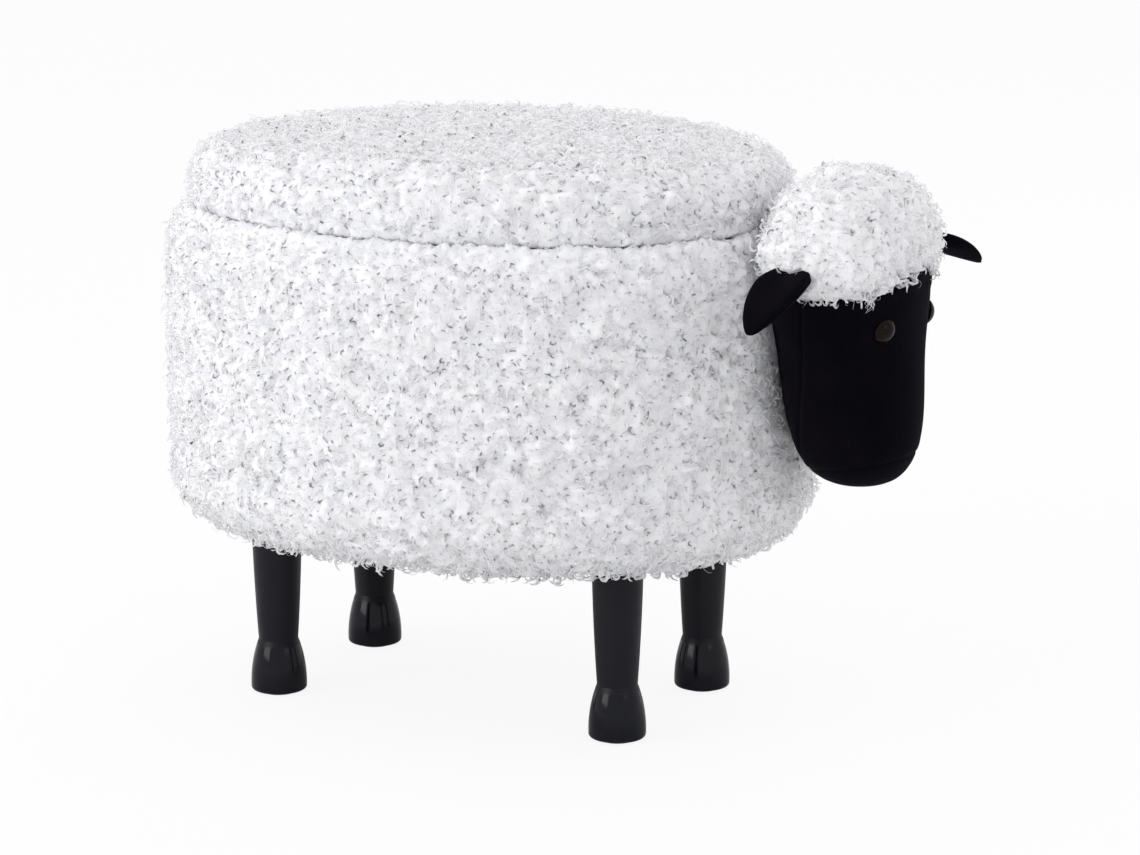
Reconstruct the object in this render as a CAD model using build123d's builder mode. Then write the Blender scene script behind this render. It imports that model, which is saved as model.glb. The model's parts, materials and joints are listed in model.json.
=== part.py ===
from build123d import *
from math import atan2, cos, degrees, radians, sin, sqrt
import os

# Storage footstool in the shape of a black-faced sheep, in millimetres.
# The origin is on the floor, under the middle of the whole stool.
# +X points to the head, +Z up, and the lid opens towards +Y.

# Oval fleece box
body_length = 520
body_width = 404
body_height = 252
plan_round_share = 0.91       # end radius of the oval plan over its half width
bottom_round = 50
shoulder_round = 26
pile = 14                     # fleece with its backing
rim_pile = 3                  # fleece turned over the rim, pressed flat by the lid
foam_thickness = 12
wall_thickness = 6
base_thickness = 15
base_edge_round = 10
under_pile = 12               # fleece below the base board
turned_under = 18             # fleece stapled under the base board
ring_width = 20
ring_thickness = 15
batten_width = 24
batten_depth = 18
batten_spacing = 120
lining_thickness = 1
lining_drop = 2               # lining starts this far below the rim
floor_panel_thickness = 3
panel_clearance = 0.5
dust_cloth_thickness = 0.8

# Lid
lid_inset = 18                # lid outline inside the body outline
lid_gap = 0.3
lid_edge_height = 51          # seam to the top of the lid's edge
lid_crown = 14
lid_edge_round = 32
lid_lower_round = 8
lid_pile = 12
lid_board_thickness = 9
lid_lining_thickness = 1.2
lid_turned_under = 20

# Legs
leg_end_inset = 110           # leg axis inside the body's end
leg_side_inset = 123          # leg axis inside the body's side
leg_length = 145.2
leg_top_radius = 20
leg_waist_bulge = 0.7
ankle_radius = 15.7
ankle_height = 42             # above the bottom of the hoof
hoof_radius = 22.2
hoof_bulge_radius = 21
hoof_bulge_height = 22
hoof_edge_round = 3
glide_thickness = 2
glide_radius = 14
leg_plate_radius = 26
leg_plate_thickness = 2.5
leg_plate_boss_radius = 6.5
leg_plate_boss_height = 11
plate_screw_circle = 20
plate_screw_count = 4
plate_screw_turn = 45         # degrees, so that the screws clear the plan's axes
hanger_bolt_radius = 4
hanger_bolt_in_leg = 26

# Head, stuffed plush
head_reach = 104              # front of the head beyond the body
head_width = 152
head_depth = 120              # the back of the head is hollowed to the body
head_height = 212
head_rise = 23.5              # top of the head above the seam
head_round_share = 0.86
head_seat_gap = 0.3           # between loosely touching soft faces
topknot_width = 184
topknot_depth = 122
topknot_height = 90
topknot_lift_share = 0.708    # its lower edge, as a share of the head height
topknot_back_gap = 2          # to the lid in front view
ear_length = 80
ear_width = 44
ear_thickness = 15
ear_height_share = 0.85       # ear root, as a share of the head height
ear_root_side_share = 0.44    # ear root beside the middle line, as a share of the head width
near_ear_root_share = 0.48    # ear root from the back of the head, as a share of its depth
near_ear_sweep = -14          # degrees towards the back
near_ear_droop = 18           # degrees below level
far_ear_root_share = 0.6      # the far ear is sewn on and stands a little further forward
far_ear_sweep = 32            # degrees towards the front
far_ear_droop = 6
eye_radius = 9
eye_height_share = 0.6
eye_turn = 43                 # degrees from straight ahead
eye_dome_share = 0.5          # rise of the dome over its radius
eye_stem_radius = 2.5
eye_stem_length = 14
eye_washer_radius = 8
eye_washer_thickness = 1.5

# Head fixing
head_board_width = 66
head_board_height = 90
head_board_thickness = 9
head_board_round = 12
head_board_setback = 5        # front of the body to the back of the board
head_bolt_radius = 3
head_bolt_spacing = 50
head_bolt_drop = 14           # upper bolt below the top ring
head_bolt_head_radius = 6
head_bolt_head_height = 3.5
head_washer_radius = 9
head_washer_thickness = 1.5
tee_nut_flange_radius = 9
tee_nut_flange_thickness = 1.2
tee_nut_barrel_radius = 4.2

# Hinges, two steel butt hinges
hinge_spacing = 110
hinge_width = 36
hinge_knuckle_share = 1 / 3   # middle knuckle over the hinge's width
hinge_leaf_thickness = 1.2
hinge_tuck = 1.5              # axis inside the lid's outer face
hinge_pin_radius = 1.2
hinge_pin_clearance = 0.15
hinge_side_play = 0.3
hinge_pocket_margin = 1
hinge_screw_spacing = 18
hinge_screw_edge = 2.7        # outer screws inside the ring's outer edge
hinge_leaf_end = 6.4          # screws to the leaf's end
hinge_screw_radius = 1.5
hinge_screw_head_radius = 3
rim_screw_length = 12
lid_screw_length = 7.5

# Screws
base_screw_radius = 2
base_screw_head_radius = 4
base_screw_head_height = 2.4
base_screw_length = 40
plate_screw_radius = 2
plate_screw_head_radius = 3.6
plate_screw_length = 14

overrun = 5                   # cutters reach past what they cut

# Places that follow from the sizes above
leg_spacing_x = body_length - 2 * leg_end_inset
leg_spacing_y = body_width - 2 * leg_side_inset
body_x = -head_reach / 2
front_x = body_x + body_length / 2
board_bottom = glide_thickness + leg_length + leg_plate_thickness + dust_cloth_thickness
board_top = board_bottom + base_thickness
body_bottom = board_bottom - under_pile
seam_height = body_bottom + body_height
ring_top = seam_height - rim_pile
ring_bottom = ring_top - ring_thickness
wall_inset = pile + foam_thickness
ring_inset = wall_inset + wall_thickness
mouth_inset = ring_inset + ring_width
panel_inset = mouth_inset + lining_thickness + panel_clearance
window_inset = wall_inset + turned_under
lid_bottom = seam_height + lid_gap
lid_board_bottom = lid_bottom + lid_lining_thickness
lid_board_top = lid_board_bottom + lid_board_thickness
lid_edge_top = seam_height + lid_edge_height
lid_top = lid_edge_top + lid_crown
lid_board_inset = lid_inset + lid_pile
lid_lining_inset = lid_board_inset + lid_turned_under
hinge_y = body_width / 2 - lid_inset - hinge_tuck
hinge_z = (ring_top + lid_board_bottom) / 2
barrel_radius = (lid_board_bottom - ring_top) / 2
head_lift = seam_height + head_rise - head_height
topknot_lift = head_lift + topknot_lift_share * head_height
leg_bottom = glide_thickness
leg_places = [
    (name, body_x + side_x * leg_spacing_x / 2, side_y * leg_spacing_y / 2)
    for name, side_x, side_y in (
        ("front_left", 1, 1),
        ("front_right", 1, -1),
        ("rear_left", -1, 1),
        ("rear_right", -1, -1),
    )
]

os.makedirs("parts", exist_ok=True)
finished = []


def finish(part, name):
    part.label = name
    export_step(part, f"parts/{name}.step")
    finished.append(part)


# Flat outlines

def side_arc(half_long, half_short, end_radius):
    # Radius of an oval's flatter side arcs, and how far their centres lie past the middle.
    end_x = half_long - end_radius
    side_radius = (end_x**2 + half_short**2 - end_radius**2) / (2 * (half_short - end_radius))
    return side_radius, side_radius - half_short


def oval(half_long, half_short, end_radius):
    # Four tangent arcs, long axis along the sketch's X.
    end_x = half_long - end_radius
    side_radius, side_y = side_arc(half_long, half_short, end_radius)
    turn = degrees(atan2(side_y, end_x))
    with BuildSketch() as outline:
        with BuildLine():
            CenterArc((end_x, 0), end_radius, -turn, 2 * turn)
            CenterArc((0, -side_y), side_radius, turn, 180 - 2 * turn)
            CenterArc((-end_x, 0), end_radius, 180 - turn, 2 * turn)
            CenterArc((0, side_y), side_radius, 180 + turn, 180 - 2 * turn)
        make_face()
    return outline.sketch


def plan_sizes(inset):
    # Half length, half width and end radius of the body's plan, drawn in by an even distance.
    end_radius = plan_round_share * body_width / 2
    return body_length / 2 - inset, body_width / 2 - inset, end_radius - inset


def plan(inset):
    return oval(*plan_sizes(inset))


def plan_side_y(inset, along):
    # Side of the plan at a distance along it from its middle.
    side_radius, side_y = side_arc(*plan_sizes(inset))
    return sqrt(side_radius**2 - along**2) - side_y


hinge_screw_y = plan_side_y(ring_inset, (hinge_spacing + hinge_screw_spacing) / 2) - hinge_screw_edge
hinge_leaf_depth = hinge_y - hinge_screw_y + hinge_leaf_end


def level(height):
    return Plane((body_x, 0, height))


def oval_block(inset, bottom, top, bottom_radius=0, top_radius=0):
    with BuildPart() as block:
        with BuildSketch(level(bottom)):
            add(plan(inset))
        extrude(amount=top - bottom)
        if bottom_radius:
            fillet(block.faces().sort_by(Axis.Z)[0].edges(), bottom_radius)
        if top_radius:
            fillet(block.faces().sort_by(Axis.Z)[-1].edges(), top_radius)
    return block.part


def crowned_block(inset, bottom, drop, bottom_radius=0):
    # The lid's form: upright sides, a rounded edge and a crowned top, all lowered by drop.
    half_chord = body_length / 2 - lid_inset - lid_edge_round
    crown_radius = (half_chord**2 + lid_crown**2) / (2 * lid_crown)
    with BuildPart() as block:
        with BuildSketch(level(bottom)):
            add(plan(inset))
        extrude(amount=lid_top + overrun - bottom)
        with Locations((body_x, 0, lid_top - drop - crown_radius)):
            Sphere(crown_radius, mode=Mode.INTERSECT)
        fillet(block.faces().filter_by(GeomType.SPHERE).edges(), lid_edge_round - drop)
        if bottom_radius:
            fillet(block.faces().sort_by(Axis.Z)[0].edges(), bottom_radius)
    return block.part


def cut_across(whole, width, sides_y):
    # The whole as separate pieces that meet on the oval's short axis, and on its long axis too
    # where there are two sides.
    pieces = []
    for side_x in (Align.MIN, Align.MAX):
        for side_y in sides_y:
            with BuildPart() as piece:
                add(whole)
                with Locations((body_x, 0, 0)):
                    Box(
                        body_length, width, 2 * lid_top,
                        align=(side_x, side_y, Align.CENTER), mode=Mode.INTERSECT,
                    )
            pieces.append(piece.part)
    return Compound(pieces)


def quarters(whole):
    return cut_across(whole, body_width, (Align.MIN, Align.MAX))


def halves(whole):
    return cut_across(whole, 2 * body_width, (Align.CENTER,))


def pocket(bottom, top, reach):
    # Room for the two hinges across the seam.
    with BuildPart() as room:
        for side in (-1, 1):
            with BuildSketch(Plane((body_x + side * hinge_spacing / 2, hinge_y, bottom))):
                with Locations((0, (reach - hinge_leaf_depth - hinge_pocket_margin) / 2)):
                    Rectangle(
                        hinge_width + 2 * hinge_pocket_margin,
                        reach + hinge_leaf_depth + hinge_pocket_margin,
                    )
            extrude(amount=top - bottom)
    return room.part


# Base board, wall, ring and battens

base_solid = oval_block(wall_inset, board_bottom, board_top, bottom_radius=base_edge_round)

with BuildPart() as leg_bosses:
    for name, x, y in leg_places:
        with Locations((x, y, board_bottom)):
            Cylinder(
                leg_plate_boss_radius,
                leg_plate_boss_height,
                align=(Align.CENTER, Align.CENTER, Align.MIN),
            )

plate_screw_bottom = board_bottom - dust_cloth_thickness - leg_plate_thickness

plate_screw_taper = degrees(
    atan2(plate_screw_head_radius - plate_screw_radius, leg_plate_thickness)
)

with BuildPart() as plate_screws:
    for name, x, y in leg_places:
        with BuildSketch(Plane((x, y, plate_screw_bottom))):
            with PolarLocations(plate_screw_circle, plate_screw_count, plate_screw_turn):
                Circle(plate_screw_radius)
        extrude(amount=plate_screw_length)
        with BuildSketch(Plane((x, y, plate_screw_bottom))):
            with PolarLocations(plate_screw_circle, plate_screw_count, plate_screw_turn):
                Circle(plate_screw_head_radius)
        extrude(amount=leg_plate_thickness, taper=plate_screw_taper)

batten_places = [
    (body_x + step * batten_spacing, side) for step in (-1, 0, 1) for side in (-1, 1)
]

with BuildPart() as batten_blanks:
    with BuildSketch(Plane.XY.offset(board_top)):
        for x, side in batten_places:
            with Locations((x, side * body_width / 4)):
                Rectangle(batten_width, body_width / 2)
        with Locations((body_x, 0)):
            add(plan(ring_inset), mode=Mode.INTERSECT)
            add(plan(ring_inset + batten_depth), mode=Mode.SUBTRACT)
    extrude(amount=ring_bottom - board_top)

with BuildPart() as base_screws:
    for x, side in batten_places:
        screw_y = side * plan_side_y(ring_inset + batten_depth / 2, x - body_x)
        with Locations((x, screw_y, board_bottom)):
            Cylinder(
                base_screw_radius, base_screw_length,
                align=(Align.CENTER, Align.CENTER, Align.MIN),
            )
            Cone(
                base_screw_head_radius, base_screw_radius, base_screw_head_height,
                align=(Align.CENTER, Align.CENTER, Align.MIN),
            )

with BuildPart() as hinge_screws_rim:
    for side in (-1, 1):
        middle = (body_x + side * hinge_spacing / 2, hinge_screw_y, ring_top + hinge_leaf_thickness)
        with Locations(middle):
            with GridLocations(hinge_screw_spacing, 0, 2, 1):
                Cylinder(
                    hinge_screw_radius, rim_screw_length,
                    align=(Align.CENTER, Align.CENTER, Align.MAX),
                )
                Cone(
                    hinge_screw_radius, hinge_screw_head_radius, hinge_leaf_thickness,
                    align=(Align.CENTER, Align.CENTER, Align.MAX),
                )

with BuildPart() as hinge_screws_lid:
    for side in (-1, 1):
        with Locations((body_x + side * hinge_spacing / 2, hinge_screw_y, lid_bottom)):
            with GridLocations(hinge_screw_spacing, 0, 2, 1):
                Cylinder(
                    hinge_screw_radius, lid_screw_length,
                    align=(Align.CENTER, Align.CENTER, Align.MIN),
                )
                Cone(
                    hinge_screw_head_radius, hinge_screw_radius, hinge_leaf_thickness,
                    align=(Align.CENTER, Align.CENTER, Align.MIN),
                )

with BuildPart() as base_board:
    add(base_solid)
    add(leg_bosses.part, mode=Mode.SUBTRACT)
    add(plate_screws.part, mode=Mode.SUBTRACT)
    add(base_screws.part, mode=Mode.SUBTRACT)

finish(base_board.part, "base_board")

with BuildPart() as upright_battens:
    add(batten_blanks.part)
    add(base_screws.part, mode=Mode.SUBTRACT)

finish(upright_battens.part, "upright_battens")
finish(base_screws.part, "batten_screws")

# Bolts that hold the head to the wall

head_board_back = front_x + head_board_setback
head_board_front = head_board_back + head_board_thickness
wall_inner_x = front_x - ring_inset
bolt_start = wall_inner_x - head_washer_thickness
bolt_end = head_board_front + tee_nut_flange_thickness
upper_bolt = ring_bottom - head_bolt_drop
bolt_heights = [upper_bolt - head_bolt_spacing, upper_bolt]


def rods(radius, start, end):
    # Round rods along X at both bolt heights.
    with BuildPart() as group:
        for height in bolt_heights:
            with BuildSketch(Plane((start, 0, height), x_dir=(0, 1, 0), z_dir=(1, 0, 0))):
                Circle(radius)
            extrude(amount=end - start)
    return group.part


with BuildPart() as head_bolts:
    add(rods(head_bolt_radius, bolt_start, bolt_end))
    add(rods(head_bolt_head_radius, bolt_start - head_bolt_head_height, bolt_start))

finish(head_bolts.part, "head_bolts")

with BuildPart() as head_washers:
    add(rods(head_washer_radius, bolt_start, wall_inner_x))
    add(rods(head_bolt_radius, bolt_start, wall_inner_x), mode=Mode.SUBTRACT)
    add(oval_block(ring_inset, board_top, ring_bottom), mode=Mode.INTERSECT)

finish(head_washers.part, "head_washers")

with BuildPart() as tee_nuts:
    add(rods(tee_nut_flange_radius, head_board_front, bolt_end))
    add(rods(tee_nut_barrel_radius, head_board_back, head_board_front))
    add(rods(head_bolt_radius, head_board_back, bolt_end), mode=Mode.SUBTRACT)

finish(tee_nuts.part, "head_tee_nuts")

bolt_holes = rods(head_bolt_radius, bolt_start, head_board_back)

with BuildPart() as wall_shell:
    add(oval_block(wall_inset, board_top, ring_top))
    add(oval_block(ring_inset, board_top, ring_top), mode=Mode.SUBTRACT)
    add(bolt_holes, mode=Mode.SUBTRACT)

finish(halves(wall_shell.part), "wall_shell")

with BuildPart() as top_ring:
    add(oval_block(ring_inset, ring_bottom, ring_top))
    add(oval_block(mouth_inset, ring_bottom, ring_top), mode=Mode.SUBTRACT)
    add(hinge_screws_rim.part, mode=Mode.SUBTRACT)

finish(quarters(top_ring.part), "top_ring")

# Foam, fleece and lining of the body

foam_solid = oval_block(
    pile, body_bottom + pile, ring_top,
    bottom_radius=bottom_round - pile, top_radius=foam_thickness,
)
wall_room = oval_block(wall_inset, board_top, ring_top)

with BuildPart() as body_foam:
    add(foam_solid)
    add(base_solid, mode=Mode.SUBTRACT)
    add(wall_room, mode=Mode.SUBTRACT)
    add(bolt_holes, mode=Mode.SUBTRACT)

finish(body_foam.part, "body_foam")

fleece_form = oval_block(0, body_bottom, seam_height, bottom_round, shoulder_round)
hinge_room = pocket(ring_top, seam_height + overrun, body_width / 2)
hem_room = oval_block(wall_inset, body_bottom - overrun, board_bottom)

with BuildPart() as body_fleece:
    add(fleece_form)
    add(foam_solid, mode=Mode.SUBTRACT)
    add(base_solid, mode=Mode.SUBTRACT)
    add(oval_block(wall_inset, board_top, seam_height + overrun), mode=Mode.SUBTRACT)
    add(hem_room, mode=Mode.SUBTRACT)
    add(hinge_room, mode=Mode.SUBTRACT)
    add(bolt_holes, mode=Mode.SUBTRACT)

finish(body_fleece.part, "body_fleece")

with BuildPart() as rim_fleece:
    add(fleece_form)
    add(oval_block(wall_inset, ring_top, seam_height + overrun), mode=Mode.INTERSECT)
    add(oval_block(mouth_inset, ring_bottom, seam_height + overrun), mode=Mode.SUBTRACT)
    add(hinge_room, mode=Mode.SUBTRACT)

finish(quarters(rim_fleece.part), "rim_fleece")

with BuildPart() as hem_fleece:
    add(fleece_form)
    add(hem_room, mode=Mode.INTERSECT)
    add(oval_block(window_inset, body_bottom - overrun, board_bottom), mode=Mode.SUBTRACT)

finish(quarters(hem_fleece.part), "hem_fleece")

with BuildPart() as box_lining:
    add(oval_block(mouth_inset, board_top, ring_top - lining_drop))
    add(oval_block(mouth_inset + lining_thickness, board_top, ring_top), mode=Mode.SUBTRACT)

finish(box_lining.part, "box_lining")

finish(
    oval_block(panel_inset, board_top, board_top + floor_panel_thickness), "floor_panel"
)

with BuildPart() as dust_cloth:
    add(oval_block(window_inset, board_bottom - dust_cloth_thickness, board_bottom))
    with BuildSketch(Plane.XY.offset(board_bottom - dust_cloth_thickness)):
        for name, x, y in leg_places:
            with Locations((x, y)):
                Circle(leg_plate_boss_radius)
                with PolarLocations(plate_screw_circle, plate_screw_count, plate_screw_turn):
                    Circle(plate_screw_head_radius)
    extrude(amount=dust_cloth_thickness, mode=Mode.SUBTRACT)

finish(dust_cloth.part, "dust_cloth")

# Legs and what fixes them

bolt_bottom = leg_bottom + leg_length - hanger_bolt_in_leg
plate_top = plate_screw_bottom + leg_plate_thickness

with BuildPart() as hanger_bolts:
    for name, x, y in leg_places:
        with BuildSketch(Plane((x, y, bolt_bottom))):
            Circle(hanger_bolt_radius)
        extrude(amount=plate_top + dust_cloth_thickness + leg_plate_boss_height - bolt_bottom)

finish(hanger_bolts.part, "hanger_bolts")

with BuildPart() as leg_plates:
    for name, x, y in leg_places:
        with BuildSketch(Plane((x, y, plate_screw_bottom))):
            Circle(leg_plate_radius)
        extrude(amount=leg_plate_thickness)
        with BuildSketch(Plane((x, y, plate_screw_bottom))):
            Circle(leg_plate_boss_radius)
        extrude(amount=leg_plate_thickness + dust_cloth_thickness + leg_plate_boss_height)
    add(hanger_bolts.part, mode=Mode.SUBTRACT)
    add(plate_screws.part, mode=Mode.SUBTRACT)

finish(leg_plates.part, "leg_plates")
finish(plate_screws.part, "leg_plate_screws")


def turned_leg(x, y):
    waist = (ankle_height + leg_length) / 2
    waist_radius = (ankle_radius + leg_top_radius) / 2 + leg_waist_bulge
    with BuildPart() as leg:
        with BuildSketch(Plane((x, y, leg_bottom), x_dir=(1, 0, 0), z_dir=(0, -1, 0))):
            with BuildLine():
                Line((0, 0), (hoof_radius - hoof_edge_round, 0))
                RadiusArc(
                    (hoof_radius - hoof_edge_round, 0),
                    (hoof_radius, hoof_edge_round),
                    -hoof_edge_round,
                )
                ThreePointArc(
                    (hoof_radius, hoof_edge_round),
                    (hoof_bulge_radius, hoof_bulge_height),
                    (ankle_radius, ankle_height),
                )
                ThreePointArc(
                    (ankle_radius, ankle_height),
                    (waist_radius, waist),
                    (leg_top_radius, leg_length),
                )
                Line((leg_top_radius, leg_length), (0, leg_length))
                Line((0, leg_length), (0, 0))
            make_face()
        revolve(axis=Axis((x, y, 0), (0, 0, 1)))
        add(hanger_bolts.part, mode=Mode.SUBTRACT)
    return leg.part


for name, x, y in leg_places:
    finish(turned_leg(x, y), f"leg_{name}")

with BuildPart() as floor_glides:
    for name, x, y in leg_places:
        with BuildSketch(Plane.XY):
            with Locations((x, y)):
                Circle(glide_radius)
        extrude(amount=glide_thickness)

finish(floor_glides.part, "floor_glides")

# Head and topknot: ovals stacked up the form, as shares of its height, width and depth

head_levels_share = [
    # height, width, depth, forward place of the middle
    (0.0, 0.26, 0.30, 0.60),
    (0.03, 0.48, 0.54, 0.59),
    (0.09, 0.65, 0.72, 0.575),
    (0.20, 0.76, 0.85, 0.56),
    (0.36, 0.78, 0.91, 0.54),
    (0.56, 0.89, 0.96, 0.515),
    (0.74, 1.0, 1.0, 0.50),
    (0.90, 0.88, 0.83, 0.485),
    (1.0, 0.56, 0.53, 0.455),
]

topknot_levels_share = [
    (0.0, 0.80, 0.82, 0.50),
    (0.07, 0.93, 0.94, 0.50),
    (0.18, 0.99, 0.985, 0.50),
    (0.36, 1.0, 1.0, 0.50),
    (0.66, 0.86, 0.88, 0.50),
    (0.90, 0.56, 0.58, 0.50),
    (1.0, 0.26, 0.28, 0.50),
]


def stacked_ovals(levels, bottom, height, width, depth, back_x):
    with BuildPart() as form:
        for up_share, width_share, depth_share, forward_share in levels:
            middle = back_x + forward_share * depth
            plane = Plane((middle, 0, bottom + up_share * height), x_dir=(0, 1, 0), z_dir=(0, 0, 1))
            half_width = width_share * width / 2
            half_depth = depth_share * depth / 2
            with BuildSketch(plane):
                add(oval(half_width, half_depth, head_round_share * half_depth))
        loft()
    return form.part


body_envelope = oval_block(
    -head_seat_gap, body_bottom, seam_height + head_seat_gap, bottom_round, shoulder_round
)

head_back = front_x + head_reach - head_depth
head_form = stacked_ovals(
    head_levels_share, head_lift, head_height, head_width, head_depth, head_back
)
topknot_back = front_x - lid_inset + topknot_back_gap
topknot_form = stacked_ovals(
    topknot_levels_share, topknot_lift, topknot_height, topknot_width, topknot_depth, topknot_back
)


def upright_board(margin, back, front):
    # The head's mounting board, or the room for it.
    middle = upper_bolt - head_bolt_spacing / 2
    with BuildPart() as board:
        with BuildSketch(Plane((back, 0, middle), x_dir=(0, 1, 0), z_dir=(1, 0, 0))):
            RectangleRounded(
                head_board_width + 2 * margin, head_board_height + 2 * margin, head_board_round
            )
        extrude(amount=front - back)
    return board.part


with BuildPart() as head_board:
    add(upright_board(0, head_board_back, head_board_front))
    add(rods(tee_nut_barrel_radius, head_board_back, head_board_front), mode=Mode.SUBTRACT)

finish(head_board.part, "head_board")


def eye_plane(side):
    # Where a ray from the head's middle line leaves the head, turned to one side.
    height = head_lift + eye_height_share * head_height
    middle = Vector(head_back + head_depth / 2, 0, height)
    direction = Vector(cos(radians(eye_turn)), side * sin(radians(eye_turn)), 0)
    point, normal = head_form.find_intersection_points(Axis(middle, direction))[-1]
    return Plane(point, z_dir=normal)


def eye(plane):
    # A domed button with a stem through the plush and a locking washer behind it.
    dome_rise = eye_dome_share * eye_radius
    sphere_radius = (eye_radius**2 + dome_rise**2) / (2 * dome_rise)
    with BuildPart() as button:
        with BuildSketch(Plane.XZ):
            with BuildLine():
                Line((0, dome_rise), (0, -eye_stem_length))
                Line((0, -eye_stem_length), (eye_stem_radius, -eye_stem_length))
                Line((eye_stem_radius, -eye_stem_length), (eye_stem_radius, 0))
                Line((eye_stem_radius, 0), (eye_radius, 0))
                RadiusArc((eye_radius, 0), (0, dome_rise), -sphere_radius)
            make_face()
        revolve(axis=Axis.Z)
    return plane.location * button.part


def eye_washer(plane):
    with BuildPart() as washer:
        with BuildSketch(Plane.XY.offset(eye_washer_thickness - eye_stem_length)):
            Circle(eye_washer_radius)
            Circle(eye_stem_radius, mode=Mode.SUBTRACT)
        extrude(amount=eye_washer_thickness)
    return plane.location * washer.part


eye_planes = {"left": eye_plane(1), "right": eye_plane(-1)}
for side_name, plane in eye_planes.items():
    finish(eye(plane), f"eye_{side_name}")

eye_washers = Compound([eye_washer(plane) for plane in eye_planes.values()])
finish(eye_washers, "eye_washers")


def ear(side, root_share, sweep, droop):
    # A flat stuffed leaf: ovals along a drooping line, from the root to the tip.
    stations_share = [
        # along the ear, width, thickness, sag
        (0.0, 0.46, 0.80, 0.0),
        (0.18, 0.74, 1.0, 0.01),
        (0.45, 1.0, 1.0, 0.05),
        (0.72, 0.86, 0.86, 0.12),
        (0.92, 0.48, 0.62, 0.20),
        (1.0, 0.20, 0.36, 0.24),
    ]
    root_height = head_lift + ear_height_share * head_height
    root = Vector(
        head_back + root_share * head_depth,
        side * ear_root_side_share * head_width,
        root_height,
    )
    out = Vector(
        sin(radians(sweep)) * cos(radians(droop)),
        side * cos(radians(sweep)) * cos(radians(droop)),
        -sin(radians(droop)),
    )
    across = Vector(out.Y, -out.X, 0).normalized()
    down = Vector(0, 0, -ear_length)
    with BuildPart() as leaf:
        for along, width, thickness, sag in stations_share:
            origin = root + out * (along * ear_length) + down * sag
            with BuildSketch(Plane(origin, x_dir=across, z_dir=out)):
                half_width = width * ear_width / 2
                half_thickness = thickness * ear_thickness / 2
                add(oval(half_width, half_thickness, head_round_share * half_thickness))
        loft()
        add(head_form, mode=Mode.SUBTRACT)
        add(topknot_form, mode=Mode.SUBTRACT)
    return leaf.part


finish(ear(1, far_ear_root_share, far_ear_sweep, far_ear_droop), "ear_left")
finish(ear(-1, near_ear_root_share, near_ear_sweep, near_ear_droop), "ear_right")

with BuildPart() as head:
    add(head_form)
    add(body_envelope, mode=Mode.SUBTRACT)
    add(upright_board(0, head_board_back, head_board_front), mode=Mode.SUBTRACT)
    add(rods(tee_nut_flange_radius, head_board_front, bolt_end), mode=Mode.SUBTRACT)
    add(rods(head_bolt_radius, front_x - overrun, head_board_back), mode=Mode.SUBTRACT)
    for plane in eye_planes.values():
        add(eye(plane), mode=Mode.SUBTRACT)
    add(eye_washers, mode=Mode.SUBTRACT)

finish(head.part, "head")

with BuildPart() as topknot:
    add(topknot_form)
    add(head_form, mode=Mode.SUBTRACT)
    add(body_envelope, mode=Mode.SUBTRACT)

finish(topknot.part, "topknot_fleece")

# Hinges

barrel_start = -hinge_width / 2
knuckle = hinge_knuckle_share * hinge_width


def knuckle_tube(x, start, end):
    with BuildPart() as tube:
        with BuildSketch(Plane((x + start, hinge_y, hinge_z), x_dir=(0, 1, 0), z_dir=(1, 0, 0))):
            Circle(barrel_radius)
            Circle(hinge_pin_radius + hinge_pin_clearance, mode=Mode.SUBTRACT)
        extrude(amount=end - start)
    return tube.part


def leaf_plate(x, bottom, notches):
    # The flat of a leaf, with notches round the other leaf's knuckles.
    clear = barrel_radius + hinge_side_play
    with BuildPart() as plate:
        with BuildSketch(Plane((x, hinge_y, bottom))):
            with Locations((0, -hinge_leaf_depth / 2)):
                Rectangle(hinge_width, hinge_leaf_depth)
            for start, end in notches:
                with Locations(((start + end) / 2, 0)):
                    Rectangle(end - start + 2 * hinge_side_play, 2 * clear, mode=Mode.SUBTRACT)
        extrude(amount=hinge_leaf_thickness)
    return plate.part


outer_knuckles = [(-hinge_width / 2, -knuckle / 2), (knuckle / 2, hinge_width / 2)]
inner_knuckle = (-knuckle / 2 + hinge_side_play, knuckle / 2 - hinge_side_play)


def bore(x):
    with BuildPart() as hole:
        with BuildSketch(Plane((x + barrel_start, hinge_y, hinge_z), x_dir=(0, 1, 0), z_dir=(1, 0, 0))):
            Circle(hinge_pin_radius + hinge_pin_clearance)
        extrude(amount=hinge_width)
    return hole.part


for side_name, side in (("rear", -1), ("front", 1)):
    x = body_x + side * hinge_spacing / 2
    with BuildPart() as fixed_leaf:
        add(leaf_plate(x, ring_top, [inner_knuckle]))
        for start, end in outer_knuckles:
            add(knuckle_tube(x, start, end))
        add(bore(x), mode=Mode.SUBTRACT)
        add(hinge_screws_rim.part, mode=Mode.SUBTRACT)
    finish(fixed_leaf.part, f"hinge_fixed_leaf_{side_name}")
    with BuildPart() as moving_leaf:
        add(leaf_plate(x, lid_bottom, outer_knuckles))
        add(knuckle_tube(x, *inner_knuckle))
        add(bore(x), mode=Mode.SUBTRACT)
        add(hinge_screws_lid.part, mode=Mode.SUBTRACT)
    finish(moving_leaf.part, f"hinge_moving_leaf_{side_name}")

with BuildPart() as hinge_pins:
    for side in (-1, 1):
        start = body_x + side * hinge_spacing / 2 + barrel_start
        with BuildSketch(Plane((start, hinge_y, hinge_z), x_dir=(0, 1, 0), z_dir=(1, 0, 0))):
            Circle(hinge_pin_radius)
        extrude(amount=hinge_width)

finish(hinge_pins.part, "hinge_pins")
finish(hinge_screws_rim.part, "hinge_screws_rim")
finish(hinge_screws_lid.part, "hinge_screws_lid")

# Lid

with BuildPart() as lid_board:
    add(oval_block(lid_board_inset, lid_board_bottom, lid_board_top))
    add(hinge_screws_lid.part, mode=Mode.SUBTRACT)

finish(lid_board.part, "lid_board")

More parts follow.
